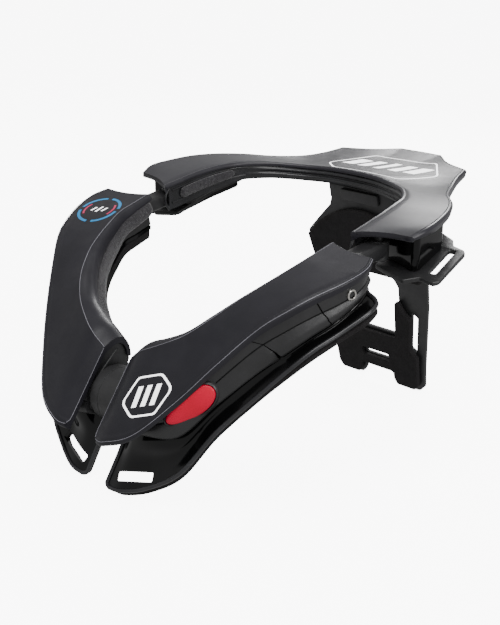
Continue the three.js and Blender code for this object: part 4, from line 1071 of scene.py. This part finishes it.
WALL_START = 0.012
WALL_SHARP = 50
SOCKET_DEPTH = 3.2
SOCKET_RIM = 0.7
CHANNEL_RIM = 0.75
CHANNEL_SPAN = (0.02, 0.175)
CHANNEL_LEVELS = (0.30, 0.76)  # shares of the wall's height


def rear_wall():
    """Inner wall with a rim round each arm's socket and two lines along each arm."""
    wall = sweep("rear_inner_wall_look", rear_wall_section, rear_place,
                 steps(WALL_START, 1 - WALL_START, 260), WALL, sharp=WALL_SHARP)
    height = rear_station(WALL_START).wall - SOCKET_DEPTH
    socket = [rear_place(WALL_START, WALL_INSET + 0.2, -TABLE_THICKNESS - 0.5 - height * share)
              - (0, SOCKET_DEPTH * math.sin(math.pi * share), 0)
              for share in np.linspace(0, 1, 30)]
    beads = [bead("socket_rim", socket, SOCKET_RIM, WALL, side) for side, _ in SIDES]
    for level in CHANNEL_LEVELS:
        path = [rear_place(t, WALL_INSET, -rear_station(t).wall * level)
                for t in steps(*CHANNEL_SPAN, 40)]
        beads += [bead("channel_rim", path, CHANNEL_RIM, WALL, side) for side, _ in SIDES]
    dress(join("rear_inner_wall_look", wall, *beads), "rear_part", "gloss", "rear_inner_wall")


def rear_neck_pads():
    def section(t):
        wall = rear_station(t).wall
        top, bottom = (-wall * level for level in REAR_PAD_LEVELS)
        face = WALL_INSET - GAP
        out = face - REAR_PAD_THICKNESS
        points = [(face, top), (out + 0.5, top - 0.2), (out - 0.2, (top + bottom) / 2),
                  (out + 0.5, bottom + 0.2), (face, bottom)]
        return rounded(points, [0, 1, 3, 1, 0], 4)
    shaped = swollen_ends(section, *REAR_PAD_SPAN, 0.012)

    def build(side, name):
        return sweep(name, shaped, rear_place, steps(*REAR_PAD_SPAN, 50), VELVET, side)
    for pad in both("rear_neck_pad", build, "", "neck_pad"):
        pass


# Strap plates and the boxes above them

STRAP_PLATE_AT = np.array((76, 28))
STRAP_PLATE_SIZE = np.array((49.5, 66))
STRAP_PLATE_TOP = -20.1
STRAP_PLATE_SLOPE = 0.27
STRAP_PLATE_THICKNESS = 2.5
STRAP_PLATE_OUTLINE = [
    (.12, .13), (.62, .02), (.76, .12), (.96, .09), (1, .14), (.91, .59), (.86, .63), (.69, .66),
    (.61, .74), (.39, .81), (.24, .97), (.02, 1), (.15, .62)]
STRAP_FOAM_OUTLINE = [
    (.25, .18), (.58, .09), (.64, .3), (.58, .64), (.35, .77), (.22, .93), (.05, .95), (.17, .62)]
BOX_OUTLINE = [(.13, .26), (.61, .15), (.67, .18), (.62, .56), (.57, .62), (.1, .76)]
STRAP_SLOT_ENDS = ((.83, .21), (.75, .585))
STRAP_SLOT_WIDTH = 4.2
STRAP_FOAM_THICKNESS = 3
BOX_GAP = 0.5  # between a box and the rear table
BOX_RINGS = ((0, 0.97), (0.02, 0.985), (0.05, 1), (0.5, 1), (1, 1))  # height and size, as shares


def strap_points(rows):
    """Points of the left strap plate from shares of its box."""
    return STRAP_PLATE_AT + np.array(rows) * STRAP_PLATE_SIZE


def on_strap_plane(points, height):
    """Points moved onto the plane of the strap plates, at a height."""
    points = np.array(points)
    points[:, 2] += height + STRAP_PLATE_SLOPE * (points[:, 1] - STRAP_PLATE_AT[1])
    return points


def strap_plates():
    """Plates with a slanted strap slot under the arms, and the foam under them."""
    start, end = strap_points(STRAP_SLOT_ENDS)
    run = unit(end - start)
    across = np.array((-run[1], run[0])) * STRAP_SLOT_WIDTH / 2
    slot = rounded([start - across, end - across, end + across, start + across], 1.0)
    outline = rounded(strap_points(STRAP_PLATE_OUTLINE), 2.5)
    soft_outline = rounded(strap_points(STRAP_FOAM_OUTLINE), 3)
    bottom = STRAP_PLATE_TOP - STRAP_PLATE_THICKNESS

    def hard(side, name):
        return plate(name, outline, [slot], STRAP_PLATE_THICKNESS, 0.6,
                     lambda points: on_strap_plane(points, bottom), SHELL, side)

    def soft(side, name):
        low = bottom - GAP - STRAP_FOAM_THICKNESS
        return plate(name, soft_outline, [], STRAP_FOAM_THICKNESS, 1.1,
                     lambda points: on_strap_plane(points, low), FOAM, side, soft=True)
    both("strap_plate", hard, "", "shell")
    for pad in both("strap_foam", soft, "", "foam"):
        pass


def underside(tree, x, y):
    """Height of the rear table's underside above a point, by a ray from below."""
    low = Vector((x, y, -60))
    hit = tree.ray_cast(low, Vector((0, 0, 1)))[0]
    return hit.z if hit else 0.0


def brace_tree(obj):
    """Search tree of an object's surface in the brace frame."""
    back = REST.inverted()
    mesh = obj.data
    return BVHTree.FromPolygons([back @ v.co for v in mesh.vertices],
                                [tuple(f.vertices) for f in mesh.polygons])


def arm_boxes(tree):
    """Boxes that fill the space between the strap plates and the arms."""
    outline = rounded(strap_points(BOX_OUTLINE), [3.5, 3, 3, 4, 4, 3.5], 6)
    centre = outline.mean(axis=0)
    rings = []
    for share, scale in BOX_RINGS:
        ring = []
        for x, y in centre + (outline - centre) * scale:
            low = STRAP_PLATE_TOP + GAP + STRAP_PLATE_SLOPE * (y - STRAP_PLATE_AT[1])
            high = underside(tree, x, y) - BOX_GAP
            ring.append((x, y, low + (high - low) * share))
        rings.append(ring)

    def build(side, name):
        return loft(name, rings, GLOSS, side)
    both("arm_box", build, "", "gloss")


# Back support

SUPPORT_TOP = np.array((0, 126.3, -3.0))
SUPPORT_HEIGHT = 145
SUPPORT_LEAN = 33
SUPPORT_HALF_WIDTH = 52
FACE_HEIGHT = math.hypot(SUPPORT_HEIGHT, SUPPORT_LEAN)
SUPPORT_UP = np.array((0, -SUPPORT_LEAN, SUPPORT_HEIGHT)) / FACE_HEIGHT
SUPPORT_OUT = np.cross((1, 0, 0), SUPPORT_UP)
SUPPORT_OUTLINE = [
    (.52, 0), (.5, .06), (.55, .11), (.78, .19), (1, .27), (.93, .38), (.9, .53), (.76, .87),
    (.73, .97), (.65, 1), (.32, 1), (.25, .96), (.25, .93)]
LEG_OPENING = [(.36, .715), (.43, .6), (.45, .46), (.38, .42)]
LOWER_PAD_OUTER = [
    (.48, .52), (.56, .575), (.67, .6), (.6, .76), (.71, .805), (.68, .955), (.62, .985),
    (.33, .985), (.28, .955), (.28, .92)]
LOWER_PAD_INNER = [(.37, .725), (.4, .61), (.42, .53)]


def on_support(points, outwards):
    """Flat points stood up on the support's leaning face, at a distance outwards."""
    points = np.array(points, float)
    x, y, z = points.T
    return (SUPPORT_TOP + x[:, None] * (1, 0, 0) + y[:, None] * SUPPORT_UP
            + (z + outwards)[:, None] * SUPPORT_OUT)


def face_points(rows):
    """Flat points of the support's face from shares of its half width and height."""
    return [(x * SUPPORT_HALF_WIDTH, -down * FACE_HEIGHT) for x, down in rows]


def both_sides(points):
    """Points and their mirror images, as one outline."""
    return [*points, *[(-x, y) for x, y in points[::-1]]]


PAD_FLOAT = 3.3  # the pads and the clip tab start this far out from the support's rear face
LEG_SLOT_TOP = (.685, .575)
LEG_SLOT_SIZE = (2.2, 29)  # half its width, and its length
LEG_SLOT_LEAN = 0.13
LEG_SLOT_STEP = 3.1  # its outer side starts this much lower
CROSS_BAR_SLOT = [(.22, .83), (.22, .87)]


def leg_slot():
    """Corners of the slanted strap slot in the left leg."""
    (top,) = face_points([LEG_SLOT_TOP])
    wide, length = LEG_SLOT_SIZE
    lean = length * LEG_SLOT_LEAN
    return np.array(top) + [(-wide, 0), (wide, -LEG_SLOT_STEP),
                            (wide - lean, -length - LEG_SLOT_STEP), (-wide - lean, -length)]


def support():
    """Back support with its openings, its two pads and the tab of its clip."""
    slots = [rounded(leg_slot() * (side, 1), 0.8) for side, _ in SIDES]
    lower_slot = rounded(both_sides(face_points(CROSS_BAR_SLOT)), 1.5)
    opening = rounded(both_sides(face_points(LEG_OPENING)), 3)
    outline = rounded(both_sides(face_points(SUPPORT_OUTLINE)), 4)
    arch = [(x * .74, .1 + .1 * x * x) for x in np.linspace(0, 1, 13)][1:]
    upper = face_points([(0, .1), *arch, (.95, .275), (.89, .37), (.86, .4)])
    lower = face_points([*LOWER_PAD_INNER, *LOWER_PAD_OUTER])
    tab = rounded([(15.5, -1.5), (15.5, -9.5), (-15.5, -9.5), (-15.5, -1.5)], 1.5)
    for name, lines, holes, height, bevel, finish in (
            ("back_support", outline, [opening, lower_slot, *slots], 3, 0.6, SHELL),
            ("upper_back_pad", rounded(both_sides(upper)[1:], 2), [], 4, 1.2, FOAM),
            ("lower_back_pad", rounded(both_sides(lower), 2.5), [lower_slot * (1.05, 1)], 4,
             1.2, FOAM),
            ("clip_tab", tab, [], 2, 0.4, SHELL)):
        out = 0 if name == "back_support" else PAD_FLOAT
        soft = finish is FOAM
        obj = plate(f"{name}_look", lines, holes, height, bevel,
                    lambda points: on_support(points, out), finish, soft=soft)
        dress(obj, "rear_part", "foam" if soft else "shell", name)


HUB_LOW = -15
HUB_HALF = 30
HUB_BACK = (12, 24)  # how far back from its front face it touches the table
HUB_GAP = 0.7


def hub(tree):
    """Block between the support's top and the rear table, with a front face that leans."""
    front = SUPPORT_TOP[1] + 0.6

    def face(z):
        return front + max(-3 - z, 0) * SUPPORT_LEAN / SUPPORT_HEIGHT
    rings = []
    for x in np.linspace(-HUB_HALF, HUB_HALF, 25):
        top = [(y, underside(tree, x, y) - HUB_GAP)
               for y in (face(0), *(front + back for back in HUB_BACK))]
        outline = [*top, (front + 19.8, HUB_LOW / 2), (face(HUB_LOW) + 6, HUB_LOW),
                   (face(HUB_LOW), HUB_LOW), (face(-3), -3)]
        rings.append([(x, y, z) for y, z in rounded(outline, [0, 0, 0, 3, 2, 0.5, 0], 3)])
    dress(loft("hub_look", rings, SHELL), "rear_part", "shell", "hub")


# Camera, light and floor

PHOTO_HEIGHT = 625  # pixels
FOCAL_LENGTH = 1100  # in those pixels
SENSOR = 36
CAMERA_PLACE = np.array((444.3, -431.9, 167.85))
AZIMUTH = math.radians(44.49)
ELEVATION = math.radians(20.03)


def camera():
    """Camera of the photograph: its place in the brace frame, and its view directions."""
    data = bpy.data.cameras.new("camera")
    data.lens = FOCAL_LENGTH * SENSOR / PHOTO_HEIGHT
    data.sensor_width = SENSOR
    data.clip_end = 20
    right = np.array((math.cos(AZIMUTH), math.sin(AZIMUTH), 0))
    back = np.array((math.sin(AZIMUTH) * math.cos(ELEVATION),
                     -math.cos(AZIMUTH) * math.cos(ELEVATION), math.sin(ELEVATION)))
    axes = np.stack((right, np.cross(back, right), back), axis=1)
    matrix = Matrix((REST_TURN / MM @ axes).tolist()).to_4x4()
    matrix.translation = REST_TURN @ CAMERA_PLACE + REST_MOVE
    obj = in_scene("camera", data)
    obj.matrix_world = matrix
    bpy.context.scene.camera = obj


def area_light(name, place, target, size, power):
    data = bpy.data.lights.new(name, "AREA")
    data.shape = "RECTANGLE"
    data.size, data.size_y = size
    data.energy = power
    obj = in_scene(name, data)
    obj.location = place
    obj.rotation_euler = (Vector(target) - Vector(place)).to_track_quat("-Z", "Y").to_euler()


def studio():
    """World that the camera sees brighter than it lights, a bright floor and three lamps."""
    world = bpy.data.worlds.new("studio")
    world.use_nodes = True
    tree = world.node_tree
    lit = tree.nodes["Background"]
    seen = tree.nodes.new("ShaderNodeBackground")
    path = tree.nodes.new("ShaderNodeLightPath")
    mix = tree.nodes.new("ShaderNodeMixShader")
    feed(lit, {"Strength": 0.55, "Color": (1, 1, 1, 1)})
    feed(seen, {"Strength": 10.0})
    feed(mix, {"Fac": path.outputs["Is Camera Ray"], 1: lit.outputs["Background"],
               2: seen.outputs["Background"]})
    feed(tree.nodes["World Output"], {"Surface": mix.outputs["Shader"]})
    bpy.context.scene.world = world
    bpy.ops.mesh.primitive_plane_add(size=30)
    floor = bpy.context.object
    floor.name = "floor"
    floor.data.materials.append(
        plastic("floor_white", "f6f6f6", "fbfbfb", 0.85, grain=40, shine=0, glow=8.0))
    floor.visible_diffuse = False
    floor.visible_glossy = False
    area_light("key", (0.4, -0.5, 1.3), (0, 0, 0.1), (0.9, 0.9), 12)
    area_light("back", (-0.5, 1.1, 0.92), (0, 0.1, 0.14), (0.5, 0.4), 11)
    area_light("side", (1.2, -0.1, 0.5), (0, 0, 0.1), (0.35, 0.9), 7)


# Printed motifs

PRINT_GRID = 2.0  # largest distance between the points of a print
PRINT_PROUD = 0.05
RAY_HEIGHT = 15


def ribbon_rows(shape):
    """Grid of points between two lines with as many points each."""
    left, right = (np.array(line, float) for line in shape)
    fine = [[left[0]], [right[0]]]
    for i in range(1, len(left)):
        pieces = max(1, math.ceil(np.linalg.norm(left[i] - left[i - 1]) / PRINT_GRID))
        for f in np.linspace(0, 1, pieces + 1)[1:]:
            for line, points in zip((left, right), fine):
                points.append(line[i - 1] + (line[i] - line[i - 1]) * f)
    left, right = np.array(fine)
    wide = np.linalg.norm(left - right, axis=1).max()
    across = max(3, math.ceil(wide / PRINT_GRID))
    return [left + (right - left) * f for f in np.linspace(0, 1, across + 1)]


def printed(name, target, body, slot, centre, towards, shapes, finish):
    """Thin print on a target: shapes are ribbons in millimetres round a centre, with x
    towards a direction."""
    tree = brace_tree(bpy.data.objects[target])
    place, normal = tree.find_nearest(Vector(centre))[:2]
    if normal.z < 0:
        normal = -normal
    x_axis = (Vector(towards) - normal * normal.dot(Vector(towards))).normalized()
    y_axis = normal.cross(x_axis)
    points, faces = [], []
    for rows in map(ribbon_rows, shapes):
        start, count = len(points), len(rows[0])
        for x, y in np.concatenate(rows):
            above = place + x_axis * x + y_axis * y + normal * RAY_HEIGHT
            hit = tree.ray_cast(above, -normal)[0] or above - normal * RAY_HEIGHT
            points.append(hit + normal * PRINT_PROUD)
        for r in range(len(rows) - 1):
            for a in range(start + r * count, start + (r + 1) * count - 1):
                faces.append((a, a + 1, a + count + 1, a + count))
    dress(make(name, points, faces, finish), body, slot)


def arc_ribbon(radius, width, start, end):
    """Part of a flat ring between two angles in degrees."""
    angles = np.radians(np.linspace(start, end, 24))
    return [[(r * math.cos(a), r * math.sin(a)) for a in angles] for r in (radius, radius + width)]


def frame_ribbon(points, width):
    """Thin line round an outline."""
    centre = points.mean(axis=0)
    ring = np.vstack([points, points[:1]])
    reach = np.linalg.norm(points - centre, axis=1).mean()
    return ring, centre + (ring - centre) * (1 - width / reach)


def bars(pitch, sizes, lean, y=0):
    """Leaning bars of given widths and heights, side by side."""
    shapes = []
    for k, (width, height) in enumerate(sizes):
        middle, h = pitch * (k - (len(sizes) - 1) / 2), height / 2
        shapes.append([[(x - lean, y - h), (x + lean, y + h)]
                       for x in (middle - width / 2, middle + width / 2)])
    return shapes


# Target, body, slot, centre and direction of the prints
REAR_SIGN = ("rear_table_look", "rear_part", "rear_table", (3, 147, 10), (1, 0.08, 0))
RING = ("right_table_look", "right_half", "table", (-91, -22, -5), (1, 0.3, 0))
FRONT_SIGN = ("left_table_look", "left_half", "table", (38, -98, -68), (1, 0.25, 0.4))


def prints():
    """Generic motifs: framed bars on the rear and the left table, a ring on the right one."""
    oblong = rounded([(-41, -9), (-26, -25), (24, -25), (41, -2), (26, 22), (-22, 22)], 5)
    shield = rounded([(-17, -2), (-10, -11), (6, -11), (17, 2), (10, 11), (-6, 11)], 4)
    rear = [frame_ribbon(oblong, 1.1),
            *bars(12, ((9, 15), (7, 17), (5, 19), (7, 17), (9, 15)), 3.4, 1.5)]
    outer = [arc_ribbon(12.4, 1.9, a, a + 76) for a in (8, 98, 188, 278)]
    inner = [arc_ribbon(9.6, 1.3, 150, 215), arc_ribbon(9.6, 1.3, -30, 35)]
    marks = bars(4, ((1.4, 4), (1.4, 6), (1.4, 4)), 1.0)
    front = [frame_ribbon(shield, 1.3), *bars(6, [(3.2, 11)] * 3, 2.2)]
    # the white prints glow with painted light on top of their ink
    printed("rear_print", *REAR_SIGN, rear, GLOWING_WHITE_PRINT)
    printed("ring_print", *RING, outer, BLUE)
    printed("inner_ring_print", *RING, inner, PINK)
    printed("ring_marks_print", *RING, marks, GLOWING_WHITE_PRINT)
    printed("front_print", *FRONT_SIGN, front, GLOWING_WHITE_PRINT)


camera()
studio()
half_tables()
shells()
neck_pads()
chest_plates()
chest_foams()
buttons()
screws()
tongues()
end_plugs()
latch_drum()
rear_table()
rear_wall()
rear_neck_pads()
strap_plates()
table_tree = brace_tree(bpy.data.objects["rear_table"])
arm_boxes(table_tree)
support()
hub(table_tree)
prints()
